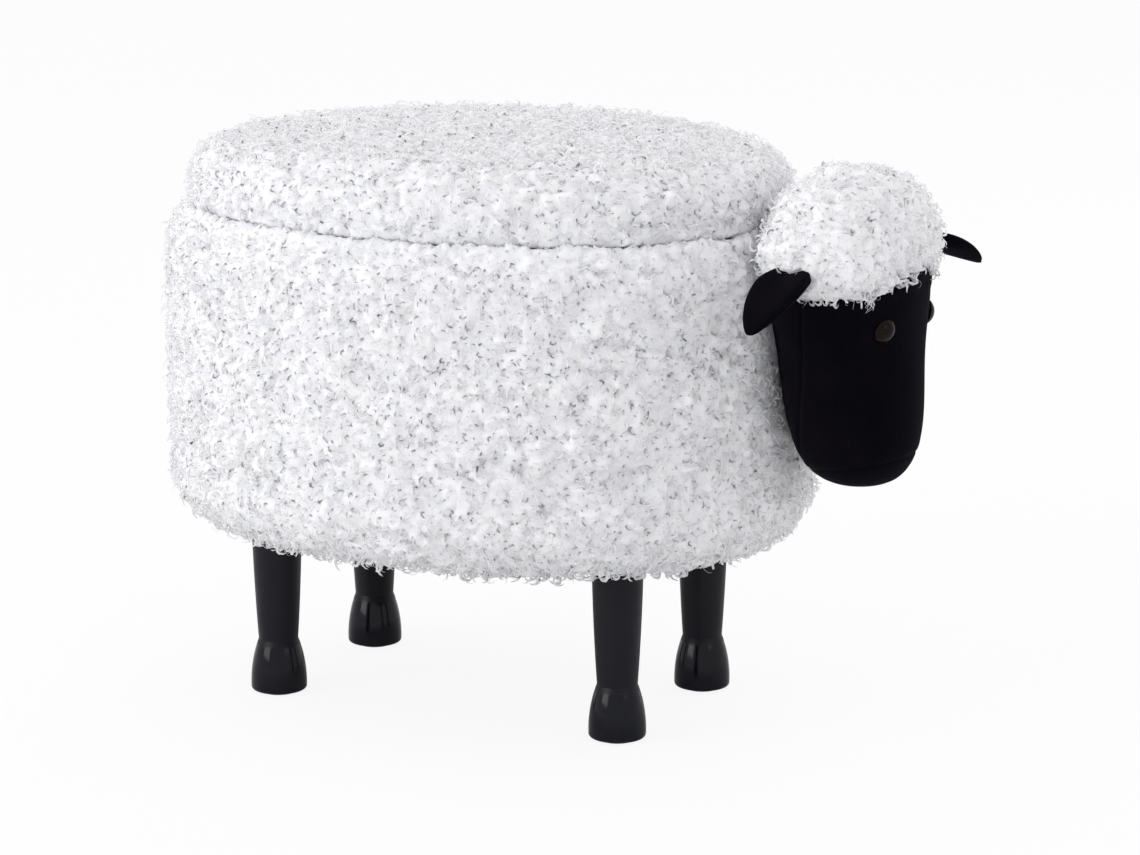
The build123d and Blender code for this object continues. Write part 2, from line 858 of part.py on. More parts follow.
lid_foam_solid = crowned_block(lid_board_inset, lid_board_top, lid_pile)
finish(lid_foam_solid, "lid_foam")

with BuildPart() as lid_fleece:
    add(crowned_block(lid_inset, lid_bottom, 0, bottom_radius=lid_lower_round))
    add(lid_foam_solid, mode=Mode.SUBTRACT)
    add(oval_block(lid_board_inset, lid_board_bottom, lid_board_top), mode=Mode.SUBTRACT)
    add(oval_block(lid_lining_inset, lid_bottom - overrun, lid_board_bottom), mode=Mode.SUBTRACT)
    add(
        pocket(lid_bottom - overrun, hinge_z + barrel_radius + hinge_pocket_margin, body_width / 2),
        mode=Mode.SUBTRACT,
    )

finish(lid_fleece.part, "lid_fleece")
finish(
    oval_block(lid_lining_inset, lid_bottom, lid_board_bottom), "lid_lining"
)

print(len(finished), "pieces; hinge axis", hinge_y, hinge_z, "front", front_x, "seam", seam_height)
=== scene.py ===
import json
import math

import bmesh
import bpy
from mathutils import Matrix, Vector, noise
from mathutils.bvhtree import BVHTree

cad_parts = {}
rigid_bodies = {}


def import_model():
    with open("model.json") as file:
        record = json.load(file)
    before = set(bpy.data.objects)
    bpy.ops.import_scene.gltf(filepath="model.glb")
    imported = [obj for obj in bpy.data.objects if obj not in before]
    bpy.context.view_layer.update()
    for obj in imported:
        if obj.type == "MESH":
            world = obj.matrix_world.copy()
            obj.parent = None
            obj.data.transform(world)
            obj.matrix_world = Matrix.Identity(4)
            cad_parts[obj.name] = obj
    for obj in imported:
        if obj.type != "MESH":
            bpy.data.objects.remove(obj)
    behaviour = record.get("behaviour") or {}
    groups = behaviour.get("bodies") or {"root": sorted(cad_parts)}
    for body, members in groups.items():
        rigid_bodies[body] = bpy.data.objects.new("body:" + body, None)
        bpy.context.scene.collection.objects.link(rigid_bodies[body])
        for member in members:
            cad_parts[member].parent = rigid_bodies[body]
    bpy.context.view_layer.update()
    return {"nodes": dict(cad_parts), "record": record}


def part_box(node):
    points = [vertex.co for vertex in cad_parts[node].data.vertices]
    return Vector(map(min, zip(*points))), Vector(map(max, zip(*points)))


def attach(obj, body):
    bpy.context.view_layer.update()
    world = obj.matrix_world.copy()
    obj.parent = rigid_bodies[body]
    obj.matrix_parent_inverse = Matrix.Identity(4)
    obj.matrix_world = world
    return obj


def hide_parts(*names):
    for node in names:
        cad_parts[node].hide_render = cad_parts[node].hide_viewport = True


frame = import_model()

mm = 0.001
mostPoints = 1e6      # more than any piece has

# Camera of the photograph, in millimetres and degrees
cameraSet = {
    "place": (1330, -2666, 873),
    "heading": 26.19,      # degrees to the left of +Y
    "pitch": 12.37,        # degrees below level
    "lens": 122.7,
    "sensor": 36,
    "farthest": 50,        # metres
}

# Lamps: place in metres, size, power
lampSet = {
    "key": ((-1.7, -2.6, 1.3), 1.8, 38),
    "side": ((2.4, -0.9, 1.2), 1.0, 3),
    "back": ((0.2, 2.3, 2.2), 1.6, 10),
}
lampAim = (0, 0, 0.25)
worldSet = {"Color": (0.985, 0.975, 1.0, 1), "Strength": 0.89}
white = (1, 1, 1, 1)
floorSet = {"size": 12, "color": (0.86, 0.86, 0.86, 1), "whiteShare": 0.9}


def clearDefaults():
    for old in list(bpy.data.objects):
        if old.type in ("LIGHT", "CAMERA"):
            bpy.data.objects.remove(old)


def newObject(name, data):
    made = bpy.data.objects.new(name, data)
    bpy.context.scene.collection.objects.link(made)
    return made


def faceKey(face):
    # A number to sort the faces by, from the numbers of their points.
    numbers = [vert.index for vert in face.verts]
    return max(numbers) * mostPoints + min(numbers)


def pieceFrom(name, bm, material, smooth=True):
    bm.verts.index_update()
    bm.faces.sort(key=faceKey)
    mesh = bpy.data.meshes.new(name)
    bm.to_mesh(mesh)
    bm.free()
    mesh.polygons.foreach_set("use_smooth", [smooth] * len(mesh.polygons))
    mesh.materials.append(material)
    return newObject(name, mesh)


def setAttribute(mesh, name, values):
    layer = mesh.attributes.get(name) or mesh.attributes.new(name, "FLOAT", "POINT")
    layer.data.foreach_set("value", values)


def attributeOf(mesh, name):
    values = [0.0] * len(mesh.vertices)
    mesh.attributes[name].data.foreach_get("value", values)
    return values


def modified(piece, kind, **settings):
    # Adds a modifier and makes what it gives the piece's mesh.
    modifier = piece.modifiers.new(kind.lower(), kind)
    for label, value in settings.items():
        setattr(modifier, label, value)
    return settle(piece)


def settle(piece):
    # Turns a piece's modifiers into its mesh.
    graph = bpy.context.evaluated_depsgraph_get()
    mesh = bpy.data.meshes.new_from_object(piece.evaluated_get(graph), depsgraph=graph)
    piece.modifiers.clear()
    piece.data = mesh
    return piece


# Nodes of the world, the materials and the geometry trees

def addNode(tree, kind, inputs=None, **settings):
    # Adds a node with its settings, and sets or links its inputs by name or by number.
    node = tree.nodes.new(kind)
    for label, value in settings.items():
        setattr(node, label, value)
    for label, value in (inputs or {}).items():
        # a node may have a set of sockets for each kind of value, and shows one
        shown = [s for s in node.inputs if s.enabled]
        named = {s.name: s for s in reversed(shown)}
        socket = shown[label] if isinstance(label, int) else named[label]
        if isinstance(value, bpy.types.NodeSocket):
            tree.links.new(value, socket)
        else:
            socket.default_value = value
    return node


def shownOutput(node):
    return next(s for s in node.outputs if s.enabled)


def mathNode(tree, operation, *values):
    return addNode(tree, "ShaderNodeMath", dict(enumerate(values)), operation=operation).outputs[0]


def vectorNode(tree, operation, first, second):
    node = addNode(tree, "ShaderNodeVectorMath", {0: first, 1: second}, operation=operation)
    return node.outputs["Vector"]


def rangeNode(tree, value, start, end, low=0, high=1):
    inputs = {"Value": value, "From Min": start, "From Max": end, "To Min": low, "To Max": high}
    return addNode(tree, "ShaderNodeMapRange", inputs).outputs["Result"]


def mixNode(tree, share, first, second):
    inputs = {"Factor": share, "A": first, "B": second}
    return shownOutput(addNode(tree, "ShaderNodeMix", inputs, data_type="RGBA"))


def noiseNode(tree, vector, scale, detail=3, distortion=0):
    inputs = {"Vector": vector, "Scale": scale, "Detail": detail, "Distortion": distortion}
    return addNode(tree, "ShaderNodeTexNoise", inputs).outputs["Fac"]


# Camera, lamps, world and floor

def addCamera():
    data = bpy.data.cameras.new("camera")
    data.lens = cameraSet["lens"]
    data.sensor_width = cameraSet["sensor"]
    data.clip_end = cameraSet["farthest"]
    camera = newObject("camera", data)
    camera.location = Vector(cameraSet["place"]) * mm
    tilt = math.radians(90 - cameraSet["pitch"])
    camera.rotation_euler = (tilt, 0, math.radians(cameraSet["heading"]))
    bpy.context.scene.camera = camera


def addLamps():
    for name, (place, size, power) in lampSet.items():
        data = bpy.data.lights.new(name, "AREA")
        data.energy = power
        data.size = size
        lamp = newObject(name, data)
        lamp.location = place
        aim = Vector(lampAim) - Vector(place)
        lamp.rotation_euler = aim.to_track_quat("-Z", "Y").to_euler()


def mixForCamera(tree, share, others, camera, output):
    # Shows the second shader, or a share of it, to the camera alone.
    path = addNode(tree, "ShaderNodeLightPath").outputs["Is Camera Ray"]
    mix = addNode(tree, "ShaderNodeMixShader", {
        0: mathNode(tree, "MULTIPLY", path, share), 1: others.outputs[0], 2: camera.outputs[0],
    })
    addNode(tree, output, {"Surface": mix.outputs[0]})


def setWorld():
    world = bpy.data.worlds.new("studio")
    bpy.context.scene.world = world
    world.use_nodes = True
    tree = world.node_tree
    tree.nodes.clear()
    soft = addNode(tree, "ShaderNodeBackground", worldSet)
    plain = addNode(tree, "ShaderNodeBackground", {"Color": white})
    mixForCamera(tree, 1, soft, plain, "ShaderNodeOutputWorld")


def addFloor():
    bm = bmesh.new()
    bmesh.ops.create_grid(bm, x_segments=1, y_segments=1, size=floorSet["size"])
    material = bpy.data.materials.new("paleFloor")
    material.use_nodes = True
    tree = material.node_tree
    tree.nodes.clear()
    matt = addNode(tree, "ShaderNodeBsdfDiffuse", {"Color": floorSet["color"]})
    glow = addNode(tree, "ShaderNodeEmission", {"Color": white})
    mixForCamera(tree, floorSet["whiteShare"], matt, glow, "ShaderNodeOutputMaterial")
    pieceFrom("floor", bm, material, smooth=False)


clearDefaults()
addCamera()
addLamps()
setWorld()
addFloor()
bpy.context.scene.view_settings.view_transform = "Standard"
print("stage ready")


# Shared shader groups

groups = {}
twoColors = {"Color": ("Color", white), "Shade": ("Color", (0.5, 0.5, 0.5, 1))}
colorAndHeight = {"Color": "Color", "Height": "Float"}


def newGroup(name, inputs, outputs):
    tree = bpy.data.node_groups.new(name, "ShaderNodeTree")
    for label, (kind, value) in inputs.items():
        socket = tree.interface.new_socket(label, in_out="INPUT", socket_type=f"NodeSocket{kind}")
        socket.default_value = value
    for label, kind in outputs.items():
        tree.interface.new_socket(label, in_out="OUTPUT", socket_type=f"NodeSocket{kind}")
    groups[name] = tree
    return tree, addNode(tree, "NodeGroupInput").outputs


def objectPlace(tree):
    return addNode(tree, "ShaderNodeTexCoord").outputs["Object"]


def buildFibres():
    # slow colour drift and fine fibre relief, for fleece, plush and foam
    tree, given = newGroup(
        "fibres",
        twoColors | {
            "Drift Scale": ("Float", 20), "Fibre Scale": ("Float", 900), "Amount": ("Float", 0.5),
        },
        colorAndHeight,
    )
    place = objectPlace(tree)
    drift = noiseNode(tree, place, given["Drift Scale"], detail=4)
    fibre = noiseNode(tree, place, given["Fibre Scale"], distortion=1.5)
    low = rangeNode(tree, mathNode(tree, "MULTIPLY", drift, fibre), 0.12, 0.4, 1, 0)
    share = mathNode(tree, "MULTIPLY", low, given["Amount"])
    color = mixNode(tree, share, given["Color"], given["Shade"])
    addNode(tree, "NodeGroupOutput", {"Color": color, "Height": fibre})


def buildWeave():
    # two sets of threads, over and under, for linings
    tree, given = newGroup(
        "weave",
        twoColors | {"Vector": ("Vector", (0, 0, 0)), "Threads": ("Float", 900)},
        colorAndHeight,
    )
    parts = addNode(tree, "ShaderNodeSeparateXYZ", {"Vector": given["Vector"]})
    waves = [
        mathNode(tree, "SINE", mathNode(tree, "MULTIPLY", parts.outputs[axis], given["Threads"]))
        for axis in ("X", "Y")
    ]
    height = rangeNode(tree, mathNode(tree, "MULTIPLY", *waves), -1, 1)
    drift = noiseNode(tree, given["Vector"], 18, detail=4)
    uneven = rangeNode(tree, drift, 0.3, 0.7)
    share = mathNode(tree, "MULTIPLY", uneven, height)
    color = mixNode(tree, share, given["Color"], given["Shade"])
    addNode(tree, "NodeGroupOutput", {"Color": color, "Height": height})


def buildGrain():
    # wood drawn out along one way
    tree, given = newGroup(
        "grain",
        twoColors | {"Stretch": ("Vector", (4, 60, 60)), "Speckle": ("Float", 400)},
        colorAndHeight,
    )
    place = objectPlace(tree)
    stretched = vectorNode(tree, "MULTIPLY", place, given["Stretch"])
    rings = noiseNode(tree, stretched, 1, detail=6, distortion=0.8)
    speckle = noiseNode(tree, place, given["Speckle"])
    both = mathNode(tree, "MULTIPLY", rings, speckle)
    share = rangeNode(tree, both, 0.12, 0.4, 1, 0)
    color = mixNode(tree, share, given["Color"], given["Shade"])
    addNode(tree, "NodeGroupOutput", {"Color": color, "Height": both})


def buildHandling():
    # faint smears that change the gloss of hard pieces
    tree, given = newGroup(
        "handling",
        {"Smooth": ("Float", 0.3), "Rough": ("Float", 0.4), "Scale": ("Float", 30)},
        {"Roughness": "Float", "Height": "Float"},
    )
    smear = noiseNode(tree, objectPlace(tree), given["Scale"], detail=5, distortion=0.6)
    share = rangeNode(tree, smear, 0.35, 0.65)
    spread = mathNode(tree, "SUBTRACT", given["Rough"], given["Smooth"])
    added = mathNode(tree, "MULTIPLY", share, spread)
    rough = mathNode(tree, "ADD", given["Smooth"], added)
    addNode(tree, "NodeGroupOutput", {"Roughness": rough, "Height": smear})


for build in (buildFibres, buildWeave, buildGrain, buildHandling):
    build()


# Materials

def startMaterial(name, **sockets):
    material = bpy.data.materials.new(name)
    material.use_nodes = True
    shader = material.node_tree.nodes["Principled BSDF"]
    for label, value in sockets.items():
        shader.inputs[label.replace("_", " ")].default_value = value
    return material, material.node_tree, shader.inputs


def useGroup(tree, name, **values):
    inputs = {label.replace("_", " "): value for label, value in values.items()}
    return addNode(tree, "ShaderNodeGroup", inputs, node_tree=groups[name]).outputs


def addBump(tree, shader, height, strength, distance):
    inputs = {"Strength": strength, "Distance": distance, "Height": height}
    tree.links.new(addNode(tree, "ShaderNodeBump", inputs).outputs["Normal"], shader["Normal"])


woolSet = {
    # painted shade: the darker colour that the fleece takes low between its tufts and at the roots
    # of its locks
    "grooveShade": (0.915, 0.91, 0.91, 1),
    "deep": 0.7,           # share of a tuft's height up to which it has the groove's colour
    "strands": 63,         # fine strands round one lock
}


def fleeceMaterial():
    material, tree, shader = startMaterial(
        "whiteFleece", Roughness=0.6, Sheen_Weight=0.12, Sheen_Roughness=0.4,
        Specular_IOR_Level=0.2, Subsurface_Weight=1.0,
        Subsurface_Radius=(0.016, 0.015, 0.014), Subsurface_Scale=1,
    )
    fibres = useGroup(
        tree, "fibres", Color=(0.935, 0.935, 0.96, 1), Shade=(0.9, 0.9, 0.92, 1),
        Drift_Scale=9, Fibre_Scale=700, Amount=0.5,
    )
    tip = addNode(tree, "ShaderNodeAttribute", attribute_name="tip").outputs["Fac"]
    # painted shade: how far down a tuft or lock the colour is darkened
    depth = rangeNode(tree, tip, 0, woolSet["deep"])
    uv = addNode(tree, "ShaderNodeUVMap").outputs["UV"]
    across = addNode(tree, "ShaderNodeSeparateXYZ", {"Vector": uv}).outputs["X"]
    strands = mathNode(tree, "SINE", mathNode(tree, "MULTIPLY", across, woolSet["strands"]))
    # painted shade: low in the tufts and at the lock roots the colour is mixed toward the darker
    # grooveShade colour
    color = mixNode(tree, depth, woolSet["grooveShade"], fibres["Color"])
    tree.links.new(color, shader["Base Color"])
    height = mathNode(tree, "ADD", fibres["Height"], strands)
    addBump(tree, shader, height, strength=0.2, distance=0.0003)
    return material


def fibreMaterial(name, bump, fibre, **sockets):
    # Plush or foam: the fibres group's colour and relief.
    material, tree, shader = startMaterial(name, **sockets)
    fibres = useGroup(tree, "fibres", **fibre)
    tree.links.new(fibres["Color"], shader["Base Color"])
    addBump(tree, shader, fibres["Height"], *bump)
    return material


lacquerSet = {"ankle": 0.041, "fade": 0.003, "satin": 0.42, "gloss": 0.1}


def lacquerMaterial():
    material, tree, shader = startMaterial(
        "blackLacquer", Base_Color=(0.004, 0.0045, 0.008, 1), Specular_IOR_Level=0.2
    )
    height = addNode(tree, "ShaderNodeSeparateXYZ", {"Vector": objectPlace(tree)}).outputs["Z"]
    ankle = lacquerSet["ankle"]
    satin = rangeNode(
        tree, height, ankle - lacquerSet["fade"], ankle, lacquerSet["gloss"], lacquerSet["satin"]
    )
    handling = useGroup(tree, "handling", Smooth=-0.02, Rough=0.05, Scale=40)
    tree.links.new(mathNode(tree, "ADD", satin, handling["Roughness"]), shader["Roughness"])
    addBump(tree, shader, handling["Height"], strength=0.05, distance=0.001)
    return material


def woodMaterial(name, color, shade, stretch, roughness):
    material, tree, shader = startMaterial(name, Roughness=roughness)
    grain = useGroup(tree, "grain", Color=color, Shade=shade, Stretch=stretch, Speckle=450)
    tree.links.new(grain["Color"], shader["Base Color"])
    addBump(tree, shader, grain["Height"], strength=0.3, distance=0.0005)
    return material


def clothMaterial(name, color, shade, threads, source):
    material, tree, shader = startMaterial(
        name, Roughness=0.85, Sheen_Weight=0.1, Specular_IOR_Level=0.25
    )
    vector = addNode(tree, "ShaderNodeTexCoord").outputs[source]
    weave = useGroup(tree, "weave", Vector=vector, Color=color, Shade=shade, Threads=threads)
    tree.links.new(weave["Color"], shader["Base Color"])
    addBump(tree, shader, weave["Height"], strength=0.5, distance=0.0004)
    return material


def hardMaterial(name, color, smooth, rough, **sockets):
    material, tree, shader = startMaterial(name, Base_Color=color, **sockets)
    handling = useGroup(tree, "handling", Smooth=smooth, Rough=rough, Scale=60)
    tree.links.new(handling["Roughness"], shader["Roughness"])
    addBump(tree, shader, handling["Height"], strength=0.05, distance=0.0005)
    return material


greyLining = ((0.36, 0.37, 0.4, 1), (0.26, 0.27, 0.3, 1), 3800)
materials = {
    "white_fleece": fleeceMaterial(),
    "black_plush": fibreMaterial(
        "blackPlush", (0.6, 0.0005),
        {
            "Color": (0.0034, 0.0028, 0.0048, 1), "Shade": (0.0012, 0.001, 0.002, 1),
            "Drift_Scale": 35, "Fibre_Scale": 1500, "Amount": 0.8,
        },
        Roughness=0.9, Sheen_Weight=0.03, Sheen_Roughness=0.35, Specular_IOR_Level=0.03,
        Sheen_Tint=(0.6, 0.55, 0.85, 1),
    ),
    "black_lacquer": lacquerMaterial(),
    "board": woodMaterial(
        "fibreBoard", (0.52, 0.38, 0.24, 1), (0.38, 0.26, 0.15, 1), (90, 90, 90), 0.8
    ),
    "ply": woodMaterial("bentPly", (0.72, 0.55, 0.36, 1), (0.55, 0.38, 0.22, 1), (5, 70, 70), 0.65),
    "softwood": woodMaterial(
        "planedPine", (0.78, 0.6, 0.38, 1), (0.6, 0.4, 0.2, 1), (70, 70, 5), 0.6
    ),
    "foam": fibreMaterial(
        "creamFoam", (0.8, 0.001),
        {
            "Color": (0.86, 0.84, 0.74, 1), "Shade": (0.6, 0.57, 0.46, 1),
            "Drift_Scale": 15, "Fibre_Scale": 600, "Amount": 0.8,
        },
        Roughness=0.95,
    ),
    "grey_lining": clothMaterial("greyLining", *greyLining, "Object"),
    "dust_cloth": clothMaterial(
        "dustCloth", (0.02, 0.02, 0.02, 1), (0.008, 0.008, 0.008, 1), 2600, "Object"
    ),
    "zinc_steel": hardMaterial("zincSteel", (0.6, 0.61, 0.63, 1), 0.28, 0.45, Metallic=1.0),
    "eye_gloss": hardMaterial(
        "eyeGloss", (0.006, 0.003, 0.0015, 1), 0.03, 0.07, Specular_IOR_Level=0.1
    ),
    "black_plastic": hardMaterial("blackPlastic", (0.02, 0.02, 0.02, 1), 0.4, 0.55),
}
liningOnWall = clothMaterial("greyLiningOnWall", *greyLining, "UV")
for part in frame["record"]["subparts"]:
    mesh = frame["nodes"][part["node"]].data
    mesh.materials.clear()
    mesh.materials.append(materials[part["material_slot"]])
print("materials ready")


def declare(piece, body, slot, *nodes):
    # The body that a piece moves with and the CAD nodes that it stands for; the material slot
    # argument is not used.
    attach(piece, body)
    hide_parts(*nodes)


# Helpers for skins made of closed loops

def loopEdges(loop):
    edges = []
    for first, second in zip(loop, loop[1:] + loop[:1]):
        edges.append(next(e for e in first.link_edges if e.other_vert(first) is second))
    return edges


def nextLoop(bm, loop, places):
    # Extrudes one closed loop of edges to new places.
    made = bmesh.ops.extrude_edge_only(bm, edges=loopEdges(loop))["geom"]
    fresh = {v for v in made if isinstance(v, bmesh.types.BMVert)}
    following = []
    for vert, place in zip(loop, places):
        new = next(e.other_vert(vert) for e in vert.link_edges if e.other_vert(vert) in fresh)
        new.co = place
        following.append(new)
    return following


def sweepLoops(rows):
    # A skin through rows of places, where each row is one closed loop.
    bm = bmesh.new()
    bm.loops.layers.uv.new("UVMap")
    loop = bmesh.ops.create_circle(bm, segments=len(rows[0]), radius=1)["verts"]
    for vert, place in zip(loop, rows[0]):
        vert.co = place
    loops = [loop]
    for row in rows[1:]:
        loops.append(nextLoop(bm, loops[-1], row))
    # extruding numbers new points by chance, so they are put in order for equal runs
    for number, vert in enumerate(vert for loop in loops for vert in loop):
        vert.index = number
    bm.verts.sort()
    return bm, loops


def faceOut(bm):
    bmesh.ops.recalc_face_normals(bm, faces=bm.faces)


def arcPath(centre, radius, start, end, step):
    # Points on a section's arc as (inset, height), angles in degrees.
    sweep = math.radians(end - start)
    count = max(2, round(abs(sweep) * radius / step))
    angles = [math.radians(start) + sweep * k / count for k in range(count + 1)]
    return [(centre[0] + radius * math.cos(a), centre[1] + radius * math.sin(a)) for a in angles]


def linePath(start, end, step):
    # Points between two ends, without the ends themselves.
    count = max(1, round(math.dist(start, end) / step))
    return [
        (start[0] + (end[0] - start[0]) * k / count, start[1] + (end[1] - start[1]) * k / count)
        for k in range(1, count)
    ]


def fade(value, start, end):
    # 0 at start, 1 at end, smooth between.
    share = min(max((value - start) / (end - start), 0), 1)
    return share * share * (3 - 2 * share)


def meshTree(*meshes):
    # A search tree over the faces of meshes.
    bm = bmesh.new()
    for mesh in meshes:
        bm.from_mesh(mesh)
    tree = BVHTree.FromBMesh(bm)
    bm.free()
    return tree


def nodeTree(*names):
    return meshTree(*[frame["nodes"][name].data for name in names])


def isNear(tree, place, reach):
    return tree.find_nearest(place, reach * mm)[0] is not None


# The box of the stool, in millimetres, as in the CAD
boxSet = {
    "length": 520, "width": 404, "endRound": 0.91,
    "bottom": 138.5, "seam": 390.5, "bottomRound": 50, "shoulderRound": 26,
    "pile": 14, "rimPile": 3, "rimHeldFrom": 8, "wallInset": 26, "window": 44, "mouth": 52,
    "boardBottom": 150.5, "boardEdge": 10,
    "around": 390, "step": 3.8, "innerStep": 14, "panels": 3, "seed": 10, "middle": 265,
    "pressedBy": ("head", "topknot_fleece"), "touchedBy": ("lid_fleece", "lid_lining"),
    "touchedPile": 0.22,
}
lidSet = {
    "inset": 18, "seam": 390.8, "lowerRound": 8, "edgeRound": 32, "window": 50,
    "boardInset": 30, "boardBottom": 392, "top": 455.5, "crown": 14, "pile": 12,
    "sideRows": (0.25, 0.5, 0.75), "lip": 1,
    "around": 340, "step": 4, "innerStep": 18, "panels": 2, "seed": 30, "middle": 395,
    "pressedBy": ("topknot_fleece",), "touchedBy": ("body_fleece", "rim_fleece", "top_ring"),
    "touchedPile": 0,
}
hingeSet = {"spacing": 110, "roomWidth": 38, "roomDepth": 29, "y": 182.5, "low": 387.5, "high": 393}

# Fleece: the cloth under the curls, and the curls
fleeceSet = {
    "sink": 3,             # cloth inside the CAD face, where the curls are rooted
    "swell": 1.4, "swellScale": 26,
    "fineSwell": 0.5, "fineBeat": 2.7, "fineShift": (7, 3, 1),
    "swirlScale": 26, "swirlTurn": 9,
    "pressed": 5,          # no curls this near to what is pressed on the cloth
    "touching": 2.2,       # nor where box and lid press on each other
    "rimHold": 0.62,       # how much of sink and swell is held back at the rim
    "curlsFrom": 0.5,      # no curls where the tufts are lower than this share
    "density": 200000,     # most locks on a square metre, before the spacing thins them
    "unruly": (0.25, 1.1), # random tilt and turn of a lock, in radians
    "sideWeight": 1.3, "bareBelow": 0.1,   # what faces inwards has no curls
    "hingeSpare": 2,
    "seamLoft": 0.62, "seamFlat": 2, "seamBlend": 14,
    "seamRise": 4.5, "seamBack": 4, "seamWidth": 5,
    "panelStart": 90,      # degrees round the stool where the first panel of curls begins
    "hingeLoft": 0.5,      # on the hinges' side curls are this much shorter by the seam,
    "hingeBlend": 3.5,     # over this many times the height, from one y to the other
    "hingeFade": (40, 140),
    "strayLoft": 0.61,     # no strays where curls are shorter than this
}
curlSet = {
    "spacing": 5.4, "length": 10.5, "width": 2.3, "flatness": 0.8, "root": 1,
    "bend": (120, 22), "twist": 2.6, "shapes": 8, "sides": 4, "rings": 5,
    "lean": (0.1, 0.9), "size": (0.65, 1.15),
}
straySet = {
    "spacing": 7.5, "length": 12, "width": 0.6, "flatness": 0.8, "root": 1,
    "bend": (130, 24), "twist": 2.6, "shapes": 6, "sides": 3, "rings": 5,
    "lean": (-0.4, 0.7), "size": (0.6, 1.1),
}
# Tufts of the fleece's own relief: width, height and how far they lean over
tuftSet = {
    "width": 7.6, "height": 3.8, "lean": 12, "fineWidth": 3.2, "fineHeight": 0.7,
    "warpScale": 110, "warp": 10.4, "leanScale": 60, "round": 0.8, "levels": 1,
}

low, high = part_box("body_fleece")
boxX = (low[0] + high[0]) / 2 / mm
coarse = 1


def planPoints(count):
    # Points round the oval with their outward directions, evenly spaced.
    halfLong = boxSet["length"] / 2
    halfShort = boxSet["width"] / 2
    endRadius = boxSet["endRound"] * halfShort
    endX = halfLong - endRadius
    sideRadius = (endX**2 + halfShort**2 - endRadius**2) / (2 * (halfShort - endRadius))
    sideY = sideRadius - halfShort
    turn = math.atan2(sideY, endX)
    arcs = [
        ((endX, 0), endRadius, -turn, 2 * turn),
        ((0, -sideY), sideRadius, turn, math.pi - 2 * turn),
        ((-endX, 0), endRadius, math.pi - turn, 2 * turn),
        ((0, sideY), sideRadius, math.pi + turn, math.pi - 2 * turn),
    ]
    whole = sum(radius * sweep for _, radius, _, sweep in arcs)
    points = []
    for step in range(count):
        along = whole * step / count
        for centre, radius, start, sweep in arcs:
            if along <= radius * sweep:
                break
            along -= radius * sweep
        angle = start + along / radius
        outward = Vector((math.cos(angle), math.sin(angle), 0))
        points.append((Vector((*centre, 0)) + outward * radius, outward))
    return points


def sectionRow(plan, inset, height):
    # One loop of the box at a distance inside its plan.
    middle = Vector((boxX, 0, height))
    return [point - outward * inset + middle for point, outward in plan]


def towardsMiddle(row, share):
    # A loop drawn in to the middle of the plan by a share, at level 0.
    middle = Vector((boxX, 0, 0))
    return [middle + (place - middle) * (1 - share) for place in row]


def swell(place, amount):
    # A soft, uneven rise and fall of the cloth.
    scaled = place / fleeceSet["swellScale"]
    fine = noise.noise(scaled * fleeceSet["fineBeat"] + Vector(fleeceSet["fineShift"]))
    return amount * (noise.noise(scaled) + fleeceSet["fineSwell"] * fine)


def pushedRow(row, plan, along, weight):
    # A loop pushed along its section's own outward direction, by place.
    pushed = []
    for place, (_, outward) in zip(row, plan):
        push = weight * (swell(place, fleeceSet["swell"]) - fleeceSet["sink"])
        pushed.append(place + outward * along.y * push + Vector((0, 0, along.x * push)))
    return pushed


def sectionWay(section, index):
    before = section[max(index - 1, 0)]
    after = section[min(index + 1, len(section) - 1)]
    return Vector((after[0] - before[0], after[1] - before[1])).normalized()


hingePlaces = [boxX + side * hingeSet["spacing"] / 2 for side in (-1, 1)]


def besideHinge(place, spare):
    # True within a hinge's room and the spare width on both sides of it.
    offX = min(abs(place.x - x) for x in hingePlaces)
    return offX < hingeSet["roomWidth"] / 2 + spare


def seamFill(place, inset):
    # Fleece of the box that fills the groove under the lid's round edge.
    if place.y > 0 and besideHinge(place, fleeceSet["seamWidth"]):
        return 0
    away = (inset - lidSet["inset"] + fleeceSet["seamBack"]) / fleeceSet["seamWidth"]
    return fleeceSet["seamRise"] * math.exp(-away * away)


def inHingeRoom(place, spare):
    # True where the hinges need the fleece out of the way.
    level = hingeSet["low"] - 2 * spare < place.z < hingeSet["high"] + 2 * spare
    behind = place.y > hingeSet["y"] - hingeSet["roomDepth"]
    return level and behind and besideHinge(place, spare)


def hingeRooms():
    # Two blocks that clear the hinges out of the fleece.
    bm = bmesh.new()
    depth = hingeSet["roomDepth"] * 2
    for x in hingePlaces:
        block = bmesh.ops.create_cube(bm, size=1)["verts"]
        bmesh.ops.scale(
            bm, verts=block,
            vec=(hingeSet["roomWidth"], depth, hingeSet["high"] - hingeSet["low"]),
        )
        middle = Vector((
            x,
            hingeSet["y"] - hingeSet["roomDepth"] + depth / 2,
            (hingeSet["high"] + hingeSet["low"]) / 2,
        ))
        bmesh.ops.translate(bm, verts=block, vec=middle)
    scaleToMetres(bm)
    return pieceFrom("hingeRooms", bm, materials["white_fleece"])


def capLoop(bm, loop):
    bmesh.ops.contextual_create(bm, geom=loop)


def scaleToMetres(bm):
    bmesh.ops.scale(bm, verts=bm.verts, vec=(mm, mm, mm))


